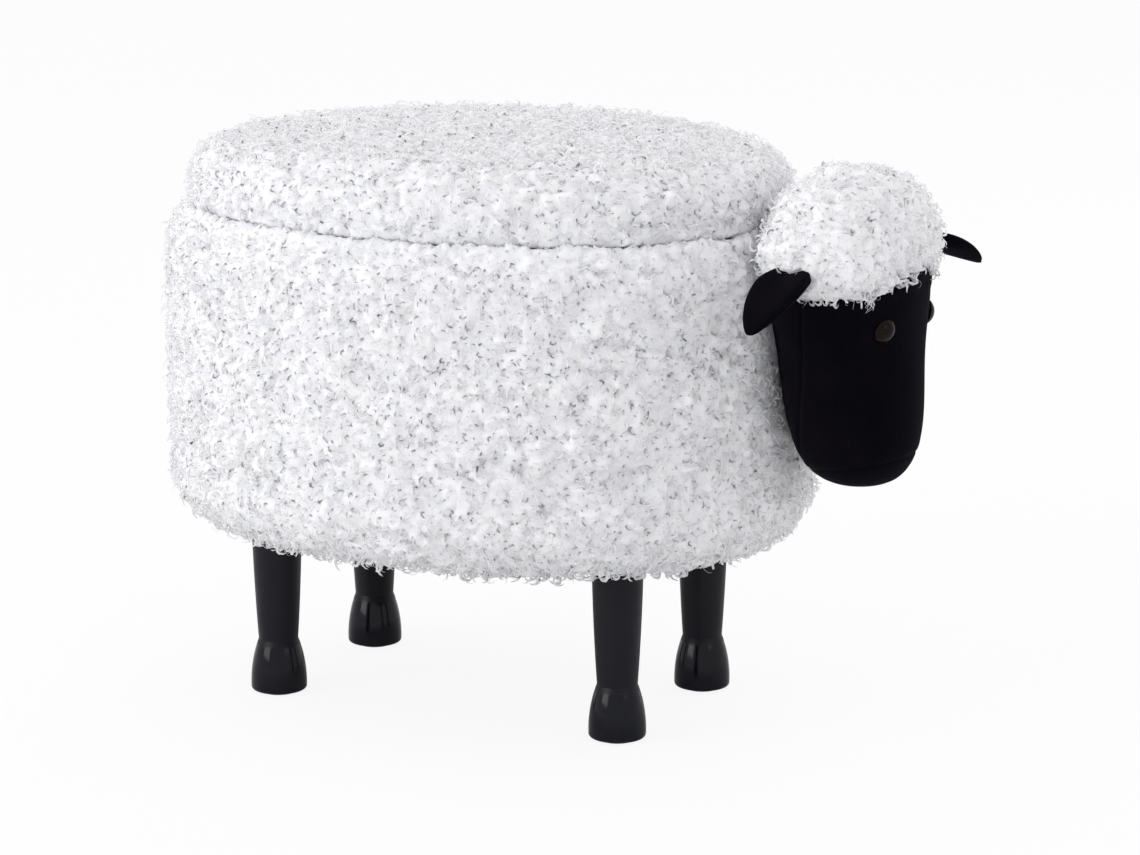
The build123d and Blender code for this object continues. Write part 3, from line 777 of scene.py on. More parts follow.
def bodyCover():
    # The fleece round the box: from the underside up and over the rim, then back inside.
    edge = boxSet["bottomRound"]
    shoulder = boxSet["shoulderRound"]
    seam = boxSet["seam"]
    ringTop = seam - boxSet["rimPile"]
    lowCentre = (edge, boxSet["bottom"] + edge)
    windowAngle = 180 + math.degrees(math.acos((edge - boxSet["window"]) / edge))
    step = boxSet["step"] * coarse
    outer = arcPath(lowCentre, edge, windowAngle, 180, step)
    outer += linePath(outer[-1], (0, seam - shoulder), step)
    outer += arcPath((shoulder, seam - shoulder), shoulder, 180, 90, step)
    outer += linePath(outer[-1], (boxSet["mouth"], seam), step) + [(boxSet["mouth"], seam)]
    pile = boxSet["pile"]
    foam = boxSet["wallInset"] - pile
    boardEdge = boxSet["boardEdge"]
    inner = [(boxSet["mouth"], ringTop), (boxSet["wallInset"], ringTop)]
    inner += arcPath((boxSet["wallInset"], ringTop - foam), foam, 90, 180, boxSet["innerStep"])[1:]
    inner += linePath(inner[-1], (pile, lowCentre[1]), boxSet["innerStep"] * 2)
    endAngle = 180 + math.degrees(math.acos((edge - boxSet["wallInset"]) / (edge - pile)))
    inner += arcPath(lowCentre, edge - pile, 180, endAngle, boxSet["innerStep"])
    boardCentre = (boxSet["wallInset"] + boardEdge, boxSet["boardBottom"] + boardEdge)
    inner += arcPath(boardCentre, boardEdge, 180, 270, boxSet["innerStep"] / 2)
    inner += [(boxSet["window"], boxSet["boardBottom"])]
    plan = planPoints(boxSet["around"] // coarse)
    rows = []
    for index, (inset, height) in enumerate(outer):
        rimWeight = 1 - fleeceSet["rimHold"] * fade(inset, boxSet["rimHeldFrom"], lidSet["inset"])
        weight = rimWeight if height > seam - shoulder else 1
        row = pushedRow(sectionRow(plan, inset, height), plan, sectionWay(outer, index), weight)
        if height > seam - shoulder:
            for place in row:
                place.z += seamFill(place, inset)
        rows.append(row)
    rows += [sectionRow(plan, inset, height) for inset, height in inner]
    bm, loops = sweepLoops(rows)
    bmesh.ops.bridge_loops(bm, edges=loopEdges(loops[0]) + loopEdges(loops[-1]))
    scaleToMetres(bm)
    faceOut(bm)
    return pieceFrom("bodyFleece", bm, materials["white_fleece"])


def crownHeight(place):
    # Top of the lid over a place, from the CAD's crown.
    halfChord = boxSet["length"] / 2 - lidSet["inset"] - lidSet["edgeRound"]
    radius = (halfChord**2 + lidSet["crown"] ** 2) / (2 * lidSet["crown"])
    away = Vector((place.x - boxX, place.y)).length
    return lidSet["top"] - radius + math.sqrt(radius**2 - away**2)


def lidSkin(plan, inset, drop, edgeRound, start, step):
    # Rows from a starting section up the lid's side, over its edge and in to the middle.
    edgeInset = inset + edgeRound
    brink = sectionRow(plan, edgeInset, 0)
    tops = [crownHeight(place) - drop for place in brink]
    rows = [(sectionRow(plan, i, h), way) for i, h, way in start]
    startHeight = start[-1][1]
    for share in lidSet["sideRows"]:
        side = sectionRow(plan, inset, 0)
        for place, top in zip(side, tops):
            place.z = startHeight + share * (top - edgeRound - startHeight)
        rows.append((side, Vector((0, 1))))
    count = max(3, round(edgeRound * math.pi / 2 / step))
    for k in range(count + 1):
        angle = math.pi / 2 * k / count
        row = sectionRow(plan, inset + edgeRound * (1 - math.cos(angle)), 0)
        for place, top in zip(row, tops):
            place.z = top - edgeRound * (1 - math.sin(angle))
        rows.append((row, Vector((math.sin(angle), math.cos(angle)))))
    reach = boxSet["length"] / 2 - edgeInset
    count = round(reach / step)
    for k in range(1, count):
        row = towardsMiddle(brink, k / count)
        for place in row:
            place.z = crownHeight(place) - drop
        rows.append((row, Vector((1, 0))))
    return rows


def lidCover():
    # The fleece of the lid, one skin from inside its middle, round under the edge and back over.
    step = lidSet["step"] * coarse
    plan = planPoints(lidSet["around"] // coarse)
    lower = lidSet["lowerRound"]
    inset = lidSet["inset"]
    under = lidSet["seam"]
    edges = (lidSet["window"], lidSet["boardInset"])
    onBoard = [(edge, lidSet["boardBottom"], None) for edge in edges]
    inside = lidSkin(
        plan, lidSet["boardInset"], lidSet["pile"], lidSet["edgeRound"] - lidSet["pile"],
        onBoard, lidSet["innerStep"],
    )
    window = (lidSet["window"], under)
    flat = [window] + linePath(window, (inset + lower, under), step)
    around = arcPath((inset + lower, under + lower), lower, 270, 180, step)
    start = [(i, h, Vector((-1, 0))) for i, h in flat]
    for k, (i, h) in enumerate(around):
        angle = math.pi / 2 * k / (len(around) - 1)
        start.append((i, h, Vector((-math.cos(angle), math.sin(angle)))))
    outside = lidSkin(plan, inset, 0, lidSet["edgeRound"], start, step)
    rows = [row for row, _ in reversed(inside)]
    for row, way in outside:
        height = sum(place.z for place in row) / len(row)
        weight = fade(height, under + lidSet["lip"], under + lower)
        rows.append(pushedRow(row, plan, way, weight))
    bm, loops = sweepLoops(rows)
    capLoop(bm, loops[0])
    capLoop(bm, loops[-1])
    scaleToMetres(bm)
    faceOut(bm)
    return pieceFrom("lidFleece", bm, materials["white_fleece"])


def unwrapLoops(bm, loops, width=1, height=1):
    # Gives a skin of loops a UV map: its width round a loop, its height along the rows.
    uv = bm.loops.layers.uv["UVMap"]
    where = {}
    for row, loop in enumerate(loops):
        for column, vert in enumerate(loop):
            where[vert] = (column, row)
    for face in bm.faces:
        columns = [where[corner.vert][0] for corner in face.loops]
        wraps = max(columns) - min(columns) > 1
        for corner in face.loops:
            column, row = where[corner.vert]
            if wraps and column == 0:
                column = len(loops[0])
            corner[uv].uv = (width * column / len(loops[0]), height * row / (len(loops) - 1))


lockSet = {
    "shortest": 0.8, "longer": 0.4, "lengthStep": 5, "lengthKinds": 7,
    "bendPower": 1.2, "rootShare": 0.16, "taperPower": 0.6, "thinnest": 0.2,
    "weave": 1.4, "turn": 0.9,
}


def lock(name, shape, index):
    # One tapered lock of wool, rooted under the origin and bent over towards +X.
    sides = shape["sides"]
    rings = shape["rings"]
    kinds = lockSet["lengthKinds"]
    kind = (index * lockSet["lengthStep"]) % kinds
    length = shape["length"] * (lockSet["shortest"] + lockSet["longer"] * kind / (kinds - 1))
    bend = math.radians(shape["bend"][0] + shape["bend"][1] * index)
    twist = shape["twist"] * (-1) ** index
    place = Vector((0, 0, -shape["root"]))
    rows = []
    for ring in range(rings + 1):
        share = ring / rings
        angle = bend * share ** lockSet["bendPower"]
        way = Vector((math.sin(angle), 0, math.cos(angle)))
        across = Vector((0, 1, 0))
        flatWay = way.cross(across)
        full = lockSet["rootShare"] + (1 - lockSet["rootShare"]) * share
        thick = math.sin(math.pi * full) ** lockSet["taperPower"]
        half = max(shape["width"] / 2 * thick, lockSet["thinnest"])
        middle = place + across * twist * math.sin(math.pi * lockSet["weave"] * share)
        row = []
        for side in range(sides):
            turn = 2 * math.pi * side / sides + share * lockSet["turn"]
            offset = across * math.cos(turn) + flatWay * shape["flatness"] * math.sin(turn)
            row.append(middle + offset * half)
        rows.append(row)
        place = place + way * length / rings
    bm, loops = sweepLoops(rows)
    unwrapLoops(bm, loops)
    bmesh.ops.pointmerge(bm, verts=loops[-1], merge_co=sum(rows[-1], Vector()) / sides)
    scaleToMetres(bm)
    faceOut(bm)
    piece = pieceFrom(f"{name}{index}", bm, materials["white_fleece"])
    # points are kept ring by ring, and the last ring is one point
    # "tip" runs from 0 at the root to 1 at the tip; the fleece material paints shade at the roots
    # by it
    setAttribute(
        piece.data, "tip", [(vert.index // sides) / rings for vert in piece.data.vertices]
    )
    return piece


def lockCollection(name, shape):
    shapes = bpy.data.collections.new(name)
    for index in range(shape["shapes"]):
        made = lock(name, shape, index)
        bpy.context.scene.collection.objects.unlink(made)
        shapes.objects.link(made)
    return shapes


def geometryTree(name, **inputs):
    # A tree of geometry nodes that takes a skin and more inputs, and puts out a mesh.
    tree = bpy.data.node_groups.new(name, "GeometryNodeTree")
    for label, kind in {"Skin": "Geometry", **inputs}.items():
        tree.interface.new_socket(label, in_out="INPUT", socket_type=f"NodeSocket{kind}")
    tree.interface.new_socket("Made", in_out="OUTPUT", socket_type="NodeSocketGeometry")
    return tree, addNode(tree, "NodeGroupInput").outputs


def attributeNode(tree, name):
    inputs = {"Name": name}
    node = addNode(tree, "GeometryNodeInputNamedAttribute", inputs, data_type="FLOAT")
    return node.outputs["Attribute"]


def randomNode(tree, kind, low, high):
    return shownOutput(addNode(tree, "FunctionNodeRandomValue", {0: low, 1: high}, data_type=kind))


def placeNode(tree):
    return addNode(tree, "GeometryNodeInputPosition").outputs["Position"]


def scatterTree(name, shape):
    # Geometry nodes that plant locks on a skin, as thick as its "pile" and as large as its
    # "loft" attribute says.
    tree, given = geometryTree(name, Seed="Int")
    plant = addNode(
        tree, "GeometryNodeDistributePointsOnFaces", distribute_method="POISSON",
        inputs={
            "Mesh": given["Skin"], "Seed": given["Seed"], "Density Max": fleeceSet["density"],
            "Distance Min": shape["spacing"] * coarse * mm,
            "Density Factor": attributeNode(tree, "pile"),
        },
    ).outputs
    kinds = addNode(tree, "GeometryNodeCollectionInfo", {
        "Collection": lockCollection(name, shape),
        "Separate Children": True, "Reset Children": True,
    })
    leanLow, leanHigh = shape["lean"]
    tilt, turn = fleeceSet["unruly"]
    spin = randomNode(tree, "FLOAT_VECTOR", (leanLow, -tilt, -turn), (leanHigh, tilt, turn))
    swirl = noiseNode(tree, placeNode(tree), fleeceSet["swirlScale"], detail=1)
    heading = addNode(tree, "ShaderNodeCombineXYZ", {
        "Z": mathNode(tree, "MULTIPLY", swirl, fleeceSet["swirlTurn"])
    })
    rotate = addNode(
        tree, "FunctionNodeRotateRotation", rotation_space="LOCAL",
        inputs={
            "Rotation": plant["Rotation"],
            "Rotate By": vectorNode(tree, "ADD", spin, heading.outputs["Vector"]),
        },
    )
    size = randomNode(tree, "FLOAT", *shape["size"])
    place = addNode(tree, "GeometryNodeInstanceOnPoints", {
        "Points": plant["Points"], "Instance": kinds.outputs["Instances"], "Pick Instance": True,
        "Instance Index": randomNode(tree, "INT", 0, shape["shapes"] - 1),
        "Rotation": rotate.outputs["Rotation"],
        "Scale": mathNode(tree, "MULTIPLY", size, attributeNode(tree, "loft")),
    })
    locks = addNode(
        tree, "GeometryNodeRealizeInstances", {"Geometry": place.outputs["Instances"]}
    )
    addNode(tree, "NodeGroupOutput", {"Made": locks.outputs["Geometry"]})
    return tree


def plantLocks(skin, name, tree, seed, pile):
    # A piece of locks that stands on a skin and moves with it.
    host = newObject(name, skin.data.copy())
    setAttribute(host.data, "pile", pile)
    modifier = host.modifiers.new("locks", "NODES")
    modifier.node_group = tree
    seedInput = next(item for item in tree.interface.items_tree if item.name == "Seed")
    modifier[seedInput.identifier] = seed
    settle(host)
    host.parent = skin
    print(name, len(host.data.polygons), "faces")


def driftNode(tree, where, scale, reach):
    # A way that wanders over the surface, as far as a share of the reach.
    inputs = {"Vector": where, "Scale": scale, "Detail": 1}
    color = addNode(tree, "ShaderNodeTexNoise", inputs).outputs["Color"]
    middleColor = (0.5, 0.5, 0.5)
    return scaleNode(tree, vectorNode(tree, "SUBTRACT", color, middleColor), reach * mm)


def scaleNode(tree, vector, amount):
    inputs = {"Vector": vector, "Scale": amount}
    node = addNode(tree, "ShaderNodeVectorMath", inputs, operation="SCALE")
    return node.outputs["Vector"]


def domesNode(tree, vector, width):
    # Round domes side by side: 1 in their middles, 0 between them.
    inputs = {"Vector": vector, "Scale": 1 / (width * mm)}
    cell = addNode(tree, "ShaderNodeTexVoronoi", inputs, feature="F1")
    away = mathNode(tree, "DIVIDE", cell.outputs["Distance"], tuftSet["round"])
    dome = mathNode(tree, "SUBTRACT", 1, mathNode(tree, "POWER", away, 2))
    return mathNode(tree, "MAXIMUM", dome, 0)


def tuftTree():
    # Geometry nodes that raise leaning, rounded tufts on a skin, as high as its "pile" attribute
    # says, and keep the height of each point as its "tip" attribute, which the fleece material uses
    # to paint shade low between the tufts.
    tree, given = geometryTree("tufts")
    fine = addNode(tree, "GeometryNodeSubdivideMesh", {
        "Mesh": given["Skin"], "Level": tuftSet["levels"],
    })
    where = placeNode(tree)
    out = addNode(tree, "GeometryNodeInputNormal").outputs["Normal"]
    pile = attributeNode(tree, "pile")
    warp = driftNode(tree, where, tuftSet["warpScale"], tuftSet["warp"])
    warped = vectorNode(tree, "ADD", where, warp)
    rise = domesNode(tree, warped, tuftSet["width"])
    piled = mathNode(tree, "MULTIPLY", rise, pile)
    high = mathNode(tree, "MULTIPLY", piled, tuftSet["height"] * mm)
    detail = mathNode(tree, "MULTIPLY", domesNode(tree, warped, tuftSet["fineWidth"]), pile)
    small = mathNode(tree, "MULTIPLY", detail, tuftSet["fineHeight"] * mm)
    lift = scaleNode(tree, out, mathNode(tree, "ADD", high, small))
    side = scaleNode(tree, driftNode(tree, where, tuftSet["leanScale"], tuftSet["lean"]), piled)
    move = addNode(tree, "GeometryNodeSetPosition", {
        "Geometry": fine.outputs["Mesh"], "Offset": vectorNode(tree, "ADD", lift, side),
    })
    keep = addNode(
        tree, "GeometryNodeStoreNamedAttribute", data_type="FLOAT", domain="POINT",
        inputs={"Geometry": move.outputs["Geometry"], "Name": "tip", "Value": rise},
    )
    addNode(tree, "NodeGroupOutput", {"Made": keep.outputs["Geometry"]})
    return tree


def tufted(skin, pile, loft):
    setAttribute(skin.data, "pile", pile)
    setAttribute(skin.data, "loft", loft)
    modified(skin, "NODES", node_group=tufts)
    skin.data.polygons.foreach_set("use_smooth", [True] * len(skin.data.polygons))
    print(skin.name, len(skin.data.polygons), "faces")


def curled(skin, name, panels, seed):
    # Curls in panels round the skin's middle, and a few loose strands.
    start = math.radians(fleeceSet["panelStart"])
    turn = [
        (math.atan2(v.co.y, v.co.x - boxX * mm) - start) % (2 * math.pi)
        for v in skin.data.vertices
    ]
    whole = [1 if value > fleeceSet["curlsFrom"] else 0 for value in attributeOf(skin.data, "pile")]
    for panel in range(panels):
        first = 2 * math.pi * panel / panels
        last = 2 * math.pi * (panel + 1) / panels
        share = [p if first <= angle < last else 0 for p, angle in zip(whole, turn)]
        plantLocks(skin, f"{name}Curls{panel}", curlTree, seed + panel, share)
    lofts = attributeOf(skin.data, "loft")
    loose = [p if size > fleeceSet["strayLoft"] else 0 for p, size in zip(whole, lofts)]
    plantLocks(skin, f"{name}Strays", strayTree, seed + panels, loose)


def outwardFrom(vert, centre):
    # How much a skin faces away from the middle of what it covers.
    place = vert.co / mm - centre
    way = Vector((place.x, place.y * fleeceSet["sideWeight"], place.z))
    return vert.normal.dot(way.normalized())


def seamLoft(place, seam):
    # Shorter curls beside the seam of box and lid, and shorter still on the hinges' side.
    near = fade(place.y, *fleeceSet["hingeFade"])
    low = fleeceSet["seamLoft"] * (1 - near * (1 - fleeceSet["hingeLoft"]))
    reach = fleeceSet["seamBlend"] * (1 + near * (fleeceSet["hingeBlend"] - 1))
    return low + (1 - low) * fade(abs(place.z - seam), fleeceSet["seamFlat"], reach)


def dress(skin, name, cover):
    # Tufts and curls outside: none on hidden faces, in the hinges' rooms or where it is pressed.
    pressedTree = nodeTree(*cover["pressedBy"])
    touchedTree = nodeTree(*cover["touchedBy"])
    centre = Vector((boxX, 0, cover["middle"]))
    pile = []
    loft = []
    for vert in skin.data.vertices:
        place = vert.co / mm
        bare = (
            outwardFrom(vert, centre) < fleeceSet["bareBelow"]
            or inHingeRoom(place, fleeceSet["hingeSpare"])
            or isNear(pressedTree, vert.co, fleeceSet["pressed"])
        )
        touched = isNear(touchedTree, vert.co, fleeceSet["touching"])
        pile.append(0 if bare else cover["touchedPile"] if touched else 1)
        loft.append(seamLoft(place, cover["seam"]))
    tufted(skin, pile, loft)
    curled(skin, name, cover["panels"], cover["seed"])


tufts = tuftTree()
curlTree = scatterTree("curls", curlSet)
strayTree = scatterTree("strays", straySet)
bodyFleece = bodyCover()
lidFleece = lidCover()
declare(bodyFleece, "base", "white_fleece", "body_fleece", "rim_fleece", "hem_fleece", "body_foam")
declare(lidFleece, "lid", "white_fleece", "lid_fleece", "lid_foam")
print("fleece skins ready")
dress(bodyFleece, "body", boxSet)
dress(lidFleece, "lid", lidSet)
# the rooms are cut last, so that the locks fall on the same places in each run
rooms = hingeRooms()
for piece in (bodyFleece, lidFleece):
    modified(piece, "BOOLEAN", operation="DIFFERENCE", solver="MANIFOLD", object=rooms)
bpy.data.objects.remove(rooms)


# Stuffed pieces: the topknot, the head and the ears

puffSet = {"frames": 20, "pressure": 4, "tension": 18, "bending": 1.5}
seamSet = {"swellWidth": 2.5, "swellPlace": 1.4}     # in widths of the seam
weldReach = 0.01      # points nearer than this, in millimetres, become one


def nodeCopy(name, node, material, tidy=None):
    # A clean copy of a CAD node's mesh, as a piece to work on.
    bm = bmesh.new()
    bm.from_mesh(frame["nodes"][node].data)
    bmesh.ops.remove_doubles(bm, verts=bm.verts, dist=weldReach * mm)
    if tidy:
        tidy(bm)
    faceOut(bm)
    return pieceFrom(name, bm, material)


def remeshed(piece, voxel):
    material = piece.data.materials[0]
    modified(piece, "REMESH", mode="VOXEL", voxel_size=voxel * mm, use_smooth_shade=True)
    piece.data.materials.clear()
    piece.data.materials.append(material)
    return piece


def pushOut(piece, amountAt):
    # Moves each point of a piece along its normal, by millimetres.
    mesh = piece.data
    points = [(v.co.copy(), v.normal.copy()) for v in mesh.vertices]
    for vert, (place, normal) in zip(mesh.vertices, points):
        vert.co = place + normal * amountAt(place / mm, normal) * mm
    mesh.update()


def puff(piece, holdAt, cap):
    # Blows a stuffed piece up as cloth, and keeps each point within the cap of where it was.
    held = piece.vertex_groups.new(name="held")
    for vert in piece.data.vertices:
        weight = holdAt(vert.co / mm)
        if weight > 0:
            held.add([vert.index], weight, "REPLACE")
    before = [vert.co.copy() for vert in piece.data.vertices]
    cloth = piece.modifiers.new("stuffing", "CLOTH")
    cloth.settings.use_pressure = True
    cloth.settings.uniform_pressure_force = puffSet["pressure"]
    cloth.settings.tension_stiffness = puffSet["tension"]
    cloth.settings.bending_stiffness = puffSet["bending"]
    cloth.settings.effector_weights.gravity = 0
    cloth.settings.vertex_group_mass = held.name
    scene = bpy.context.scene
    for number in range(1, puffSet["frames"] + 1):
        scene.frame_set(number)
    settle(piece)
    for vert, start in zip(piece.data.vertices, before):
        moved = vert.co - start
        if moved.length > cap * mm:
            vert.co = start + moved.normalized() * cap * mm
    piece.data.update()
    scene.frame_set(1)


def seamDip(away, width, depth, bulge):
    # A sewn seam: a narrow dip with a soft swell on both sides, by the distance from it.
    dip = depth * math.exp(-((away / width) ** 2))
    beside = away / width / seamSet["swellWidth"] - seamSet["swellPlace"]
    return bulge * math.exp(-(beside**2)) - dip


topknotSet = {
    "voxel": 2.7, "shrink": 3, "swell": 2.2, "rim": 1.6,
    "fringe": 14, "loft": 1.12, "loftDrop": 0.2, "seed": 50,
}
wispSet = {
    "turn": -58, "height": 363, "spread": 5.5, "strands": 16,
    "length": 17, "shortShare": 0.45, "lengthBeat": 2.3, "endShare": 0.5,
    "width": 1.3, "taper": 0.8, "sides": 4, "rings": 12,
    "stand": 1, "bow": 4, "bowTurn": 2.4,       # how far strands stand off the face
    "sway": 3.4, "swayBeat": 1.9, "swayTurn": 5.5, "splay": 7,
}


def makeTopknot():
    # The woolly cap, with a ragged fringe over the face.
    copy = nodeCopy("topknot", "topknot_fleece", materials["white_fleece"])
    piece = remeshed(copy, topknotSet["voxel"])
    pushOut(piece, lambda place, normal: swell(place, topknotSet["swell"]) - topknotSet["shrink"])
    headTree = nodeTree("head", "ear_left", "ear_right")
    lidTree = nodeTree("lid_fleece", "body_fleece")
    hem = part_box("topknot_fleece")[0].z / mm
    pile = []
    loft = []
    for vert in piece.data.vertices:
        near = isNear(headTree, vert.co, topknotSet["rim"])
        bare = near or isNear(lidTree, vert.co, fleeceSet["touching"])
        pile.append(0 if bare else 1)
        risen = fade(vert.co.z / mm, hem, hem + topknotSet["fringe"])
        loft.append(topknotSet["loft"] - topknotSet["loftDrop"] * risen)
    declare(piece, "base", "white_fleece", "topknot_fleece")
    tufted(piece, pile, loft)
    whole = attributeOf(piece.data, "pile")
    plantLocks(piece, "topknotCurls", curlTree, topknotSet["seed"], whole)
    plantLocks(piece, "topknotStrays", strayTree, topknotSet["seed"] + 1, whole)
    return piece


def strandRows(index, root, way, share):
    # Rows of places round one strand, from its root down.
    side = Vector((-way.y, way.x, 0))
    uneven = math.sin(index * wispSet["lengthBeat"]) ** 2
    length = wispSet["length"] * (wispSet["shortShare"] + (1 - wispSet["shortShare"]) * uneven)
    length *= 1 - wispSet["endShare"] * share**2
    rows = []
    for ring in range(wispSet["rings"] + 1):
        along = ring / wispSet["rings"]
        phase = index * wispSet["swayBeat"] + along * wispSet["swayTurn"]
        sway = wispSet["sway"] * along
        bow = wispSet["stand"] + wispSet["bow"] * math.sin(along * wispSet["bowTurn"])
        place = root + way * bow - Vector((0, 0, along * length))
        beside = sway * math.sin(phase) - share * wispSet["splay"] * along
        place += side * beside + way * sway * math.cos(phase)
        half = wispSet["width"] / 2 * (1 - along * wispSet["taper"])
        turns = [2 * math.pi * k / wispSet["sides"] for k in range(wispSet["sides"])]
        rows.append([place + (side * math.cos(t) + way * math.sin(t)) * half for t in turns])
    return rows


def makeWisp(topknot):
    # Fine strands that hang from the fringe over the face.
    tree = meshTree(topknot.data)
    low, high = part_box("topknot_fleece")
    middle = Vector(((low.x + high.x) / 2, 0, wispSet["height"] * mm))
    whole = bmesh.new()
    for index in range(wispSet["strands"]):
        share = index / (wispSet["strands"] - 1) * 2 - 1
        angle = math.radians(wispSet["turn"] + share * wispSet["spread"])
        way = Vector((math.cos(angle), math.sin(angle), 0))
        root = tree.ray_cast(middle + way, -way)[0] / mm
        bm, loops = sweepLoops(strandRows(index, root, way, share))
        capLoop(bm, loops[0])
        capLoop(bm, loops[-1])
        scaleToMetres(bm)
        faceOut(bm)
        mesh = bpy.data.meshes.new("strand")
        bm.to_mesh(mesh)
        bm.free()
        whole.from_mesh(mesh)
        bpy.data.meshes.remove(mesh)
    piece = pieceFrom("topknotWisp", whole, materials["white_fleece"])
    # all of a strand counts as tip, so the fleece material paints no shade on it
    setAttribute(piece.data, "tip", [1.0] * len(piece.data.vertices))
    piece.parent = topknot


headSet = {
    "voxel": 4.5, "shrink": 1.6, "cap": 4, "levels": 2, "heldReach": 4, "roomReach": 0.5,
    "inside": (
        "head_board", "head_tee_nuts", "head_bolts", "eye_left", "eye_right", "eye_washers",
    ),
    "seamX": 238, "seamLean": 0.12, "seamLevel": 300, "seamTop": (340, 356), "seamSides": (20, 40),
    "chinSeam": 224, "chinLean": 0.16, "chinX": 280, "chinFade": (-1, 2), "chinShare": 0.5,
    "seam": (1.5, 1.3, 0.5),   # width, depth and swell of a seam
}


def fillInner(bm):
    # Takes out the rooms for what is inside the head, and closes the skin over them.
    inner = nodeTree(*headSet["inside"])
    reach = headSet["roomReach"]
    hidden = [face for face in bm.faces if isNear(inner, face.calc_center_median(), reach)]
    bmesh.ops.delete(bm, geom=hidden, context="FACES")
    bmesh.ops.holes_fill(bm, edges=[e for e in bm.edges if e.is_boundary], sides=0)


def makeHead():
    copy = nodeCopy("headPlush", "head", materials["black_plush"], fillInner)
    piece = remeshed(copy, headSet["voxel"])
    bodyTree = nodeTree("body_fleece", "rim_fleece")
    topTree = nodeTree("topknot_fleece")

    def held(place):
        near = any(isNear(tree, place * mm, headSet["heldReach"]) for tree in (bodyTree, topTree))
        return 1 if near else 0

    pushOut(piece, lambda place, normal: -headSet["shrink"] * (1 - held(place)))
    puff(piece, held, headSet["cap"])
    modified(piece, "SUBSURF", levels=headSet["levels"])
    width, depth, bulge = headSet["seam"]

    def seams(place, normal):
        side = place.x - headSet["seamX"] - headSet["seamLean"] * (place.z - headSet["seamLevel"])
        top = 1 - fade(place.z, *headSet["seamTop"])
        chin = place.z - headSet["chinSeam"] - headSet["chinLean"] * (place.x - headSet["chinX"])
        front = fade(side, *headSet["chinFade"])
        sides = fade(abs(place.y), *headSet["seamSides"])
        along = seamDip(side, width, depth, bulge) * top * sides
        return along + headSet["chinShare"] * seamDip(chin, width, depth, bulge) * front

    pushOut(piece, seams)
    declare(piece, "base", "black_plush", "head")


earSet = {
    "left": {"root": (264, 66.9, 382.2), "sweep": 32, "droop": 6},
    "right": {"root": (249.6, -66.9, 382.2), "sweep": -14, "droop": 18},
    "voxel": 1.7, "shrink": 0.8, "cap": 2, "levels": 1, "heldTo": 14,
    "fold": 5.5, "foldWidth": 7, "foldEnd": (6, 46),
    "cup": 4, "cupWidth": 22, "cupFade": (10, 40),
    "pinch": 0.22, "seam": (0.16, 1.0, 0.25),
}


def makeEar(side, sign):
    # A leaf of plush, folded at its root and cupped, with a seam round its edge.
    sweep = math.radians(earSet[side]["sweep"])
    droop = math.radians(earSet[side]["droop"])
    level = math.cos(droop)
    out = Vector((math.sin(sweep) * level, sign * math.cos(sweep) * level, -math.sin(droop)))
    across = Vector((out.y, -out.x, 0)).normalized()
    thick = out.cross(across) * (1 if out.cross(across).z > 0 else -1)
    root = Vector(earSet[side]["root"])
    node = f"ear_{side}"
    piece = remeshed(nodeCopy(f"earPlush_{side}", node, materials["black_plush"]), earSet["voxel"])
    pushOut(piece, lambda place, normal: -earSet["shrink"])

    def held(place):
        return 1 if (place - root).dot(out) < earSet["heldTo"] else 0

    puff(piece, held, earSet["cap"])
    modified(piece, "SUBSURF", levels=earSet["levels"])
    width, depth, bulge = earSet["seam"]
    pushOut(piece, lambda place, normal: seamDip(normal.dot(thick), width, depth, bulge))
    for vert in piece.data.vertices:
        offset = vert.co / mm - root
        along = offset.dot(out)
        beside = offset.dot(across)
        foldShare = 1 - fade(along, *earSet["foldEnd"])
        fold = earSet["fold"] * foldShare * math.exp(-((beside / earSet["foldWidth"]) ** 2))
        cup = earSet["cup"] * (beside / earSet["cupWidth"]) ** 2 * fade(along, *earSet["cupFade"])
        pinch = -earSet["pinch"] * beside * foldShare
        vert.co += (thick * (cup - fold) + across * pinch) * mm
    piece.data.update()
    declare(piece, "base", "black_plush", node)


topknot = makeTopknot()
makeWisp(topknot)
makeHead()
makeEar("left", 1)
makeEar("right", -1)
print("stuffed pieces ready")


# Linings and the cloth under the box

liningSet = {
    "inset": 52.5, "bottom": 166, "top": 385.2, "ripple": 1.1, "rippleScale": 34,
    "around": 260, "rows": 36, "thickness": 0.5, "squash": 0.35, "slack": 0.5,
    "freeFrom": (0, 0.15), "freeTo": (0.85, 0.97),
}
lidLiningSet = {
    "inset": 50.2, "height": 391.4, "ripple": 0.22, "rippleScale": 30, "free": (0, 0.1), "rows": 34,
}
dustSet = {
    "inset": 44.3, "height": 150.1, "sag": 2.2, "edgeBlend": 40, "legBlend": (30, 62),
    "rows": 34, "hole": 7.5, "wave": (0.75, 0.5, 40),
}


def sheetFrom(bm, name, material):
    scaleToMetres(bm)
    faceOut(bm)
    piece = pieceFrom(name, bm, material)
    return modified(piece, "SOLIDIFY", thickness=liningSet["thickness"] * mm, offset=0)


def rowLength(row):
    return sum((b - a).length for a, b in zip(row, row[1:] + row[:1]))


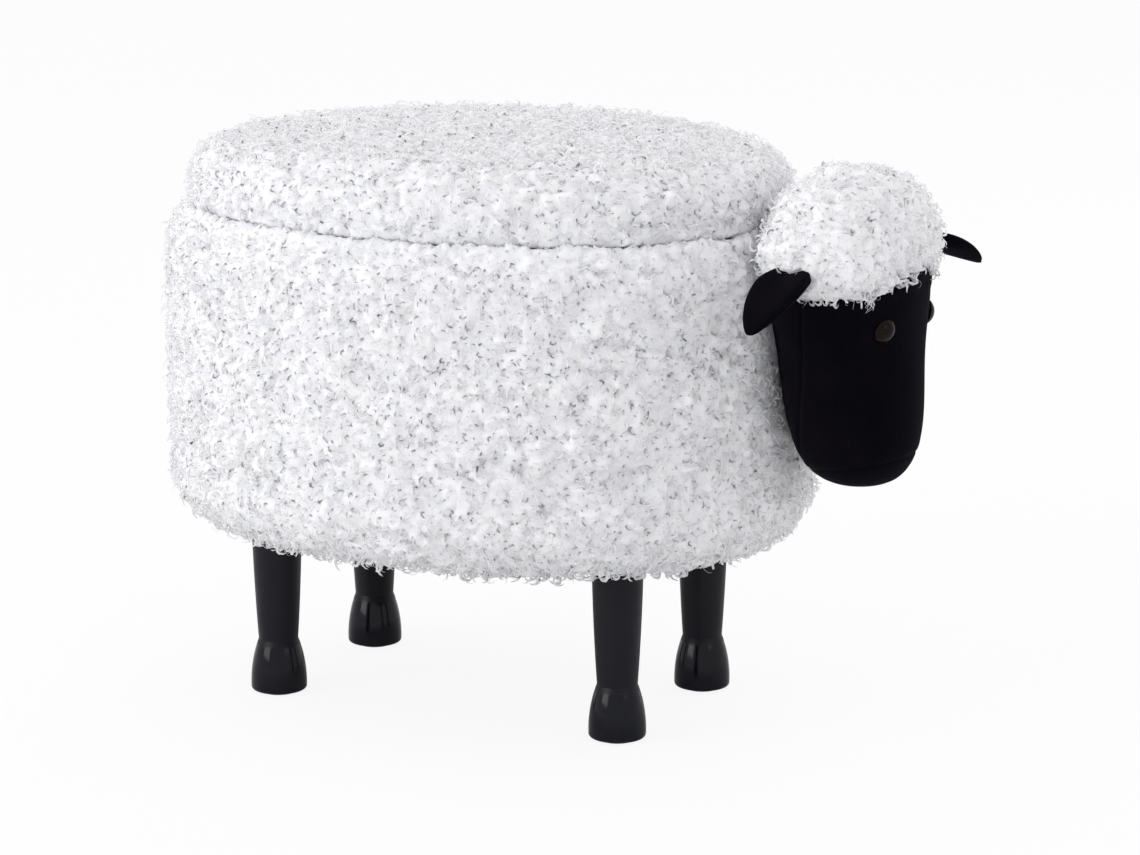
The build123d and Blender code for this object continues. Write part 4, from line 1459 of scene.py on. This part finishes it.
def makeBoxLining():
    plan = planPoints(liningSet["around"])
    count = liningSet["rows"]
    rows = []
    for step in range(count + 1):
        share = step / count
        height = liningSet["bottom"] + share * (liningSet["top"] - liningSet["bottom"])
        free = fade(share, *liningSet["freeFrom"]) * (1 - fade(share, *liningSet["freeTo"]))
        row = []
        for place, (_, outward) in zip(sectionRow(plan, liningSet["inset"], height), plan):
            spot = Vector((place.x, place.y, place.z * liningSet["squash"]))
            wave = liningSet["slack"] + noise.noise(spot / liningSet["rippleScale"])
            row.append(place - outward * wave * liningSet["ripple"] * free)
        rows.append(row)
    bm, loops = sweepLoops(rows)
    around = rowLength(rows[0]) * mm
    height = (liningSet["top"] - liningSet["bottom"]) * mm
    unwrapLoops(bm, loops, around, height)
    piece = sheetFrom(bm, "boxLining", liningOnWall)
    declare(piece, "base", "grey_lining", "box_lining")


def makeFlatSheet(name, body, slot, node, shape, heightAt, inHole=None):
    # A stretched sheet over the plan, from its edge to its middle.
    rows = shape["rows"]
    edge = sectionRow(planPoints(liningSet["around"]), shape["inset"], 0)
    places = []
    for step in range(rows):
        row = towardsMiddle(edge, step / rows)
        for place in row:
            place.z = heightAt(place, step / rows)
        places.append(row)
    bm, loops = sweepLoops(places)
    capLoop(bm, loops[-1])
    if inHole:
        holes = [face for face in bm.faces if inHole(face.calc_center_median())]
        bmesh.ops.delete(bm, geom=holes, context="FACES")
    piece = sheetFrom(bm, name, materials[slot])
    declare(piece, body, slot, node)


def makeLidLining():
    def heightAt(place, share):
        ripple = noise.noise(place / lidLiningSet["rippleScale"])
        free = fade(share, *lidLiningSet["free"])
        return lidLiningSet["height"] + lidLiningSet["ripple"] * (ripple * free)

    makeFlatSheet(
        "lidLining", "lid", "grey_lining", "lid_lining", lidLiningSet, heightAt
    )


def makeDustCloth():
    legs = []
    for name in ("front_left", "front_right", "rear_left", "rear_right"):
        low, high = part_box(f"leg_{name}")
        legs.append(Vector(((low.x + high.x) / 2, (low.y + high.y) / 2, 0)) / mm)
    reach = boxSet["width"] / 2 - dustSet["inset"]
    even, uneven, waveScale = dustSet["wave"]

    def heightAt(place, share):
        level = Vector((place.x, place.y, 0))
        sag = dustSet["sag"] * fade(share * reach, 0, dustSet["edgeBlend"])
        for leg in legs:
            sag *= fade((level - leg).length, *dustSet["legBlend"])
        return dustSet["height"] - sag * (even + uneven * noise.noise(level / waveScale))

    def inHole(place):
        return any((place.xy - leg.xy).length < dustSet["hole"] for leg in legs)

    makeFlatSheet(
        "dustCloth", "base", "dust_cloth", "dust_cloth", dustSet, heightAt, inHole
    )


makeBoxLining()
makeLidLining()
makeDustCloth()
print("linings ready")
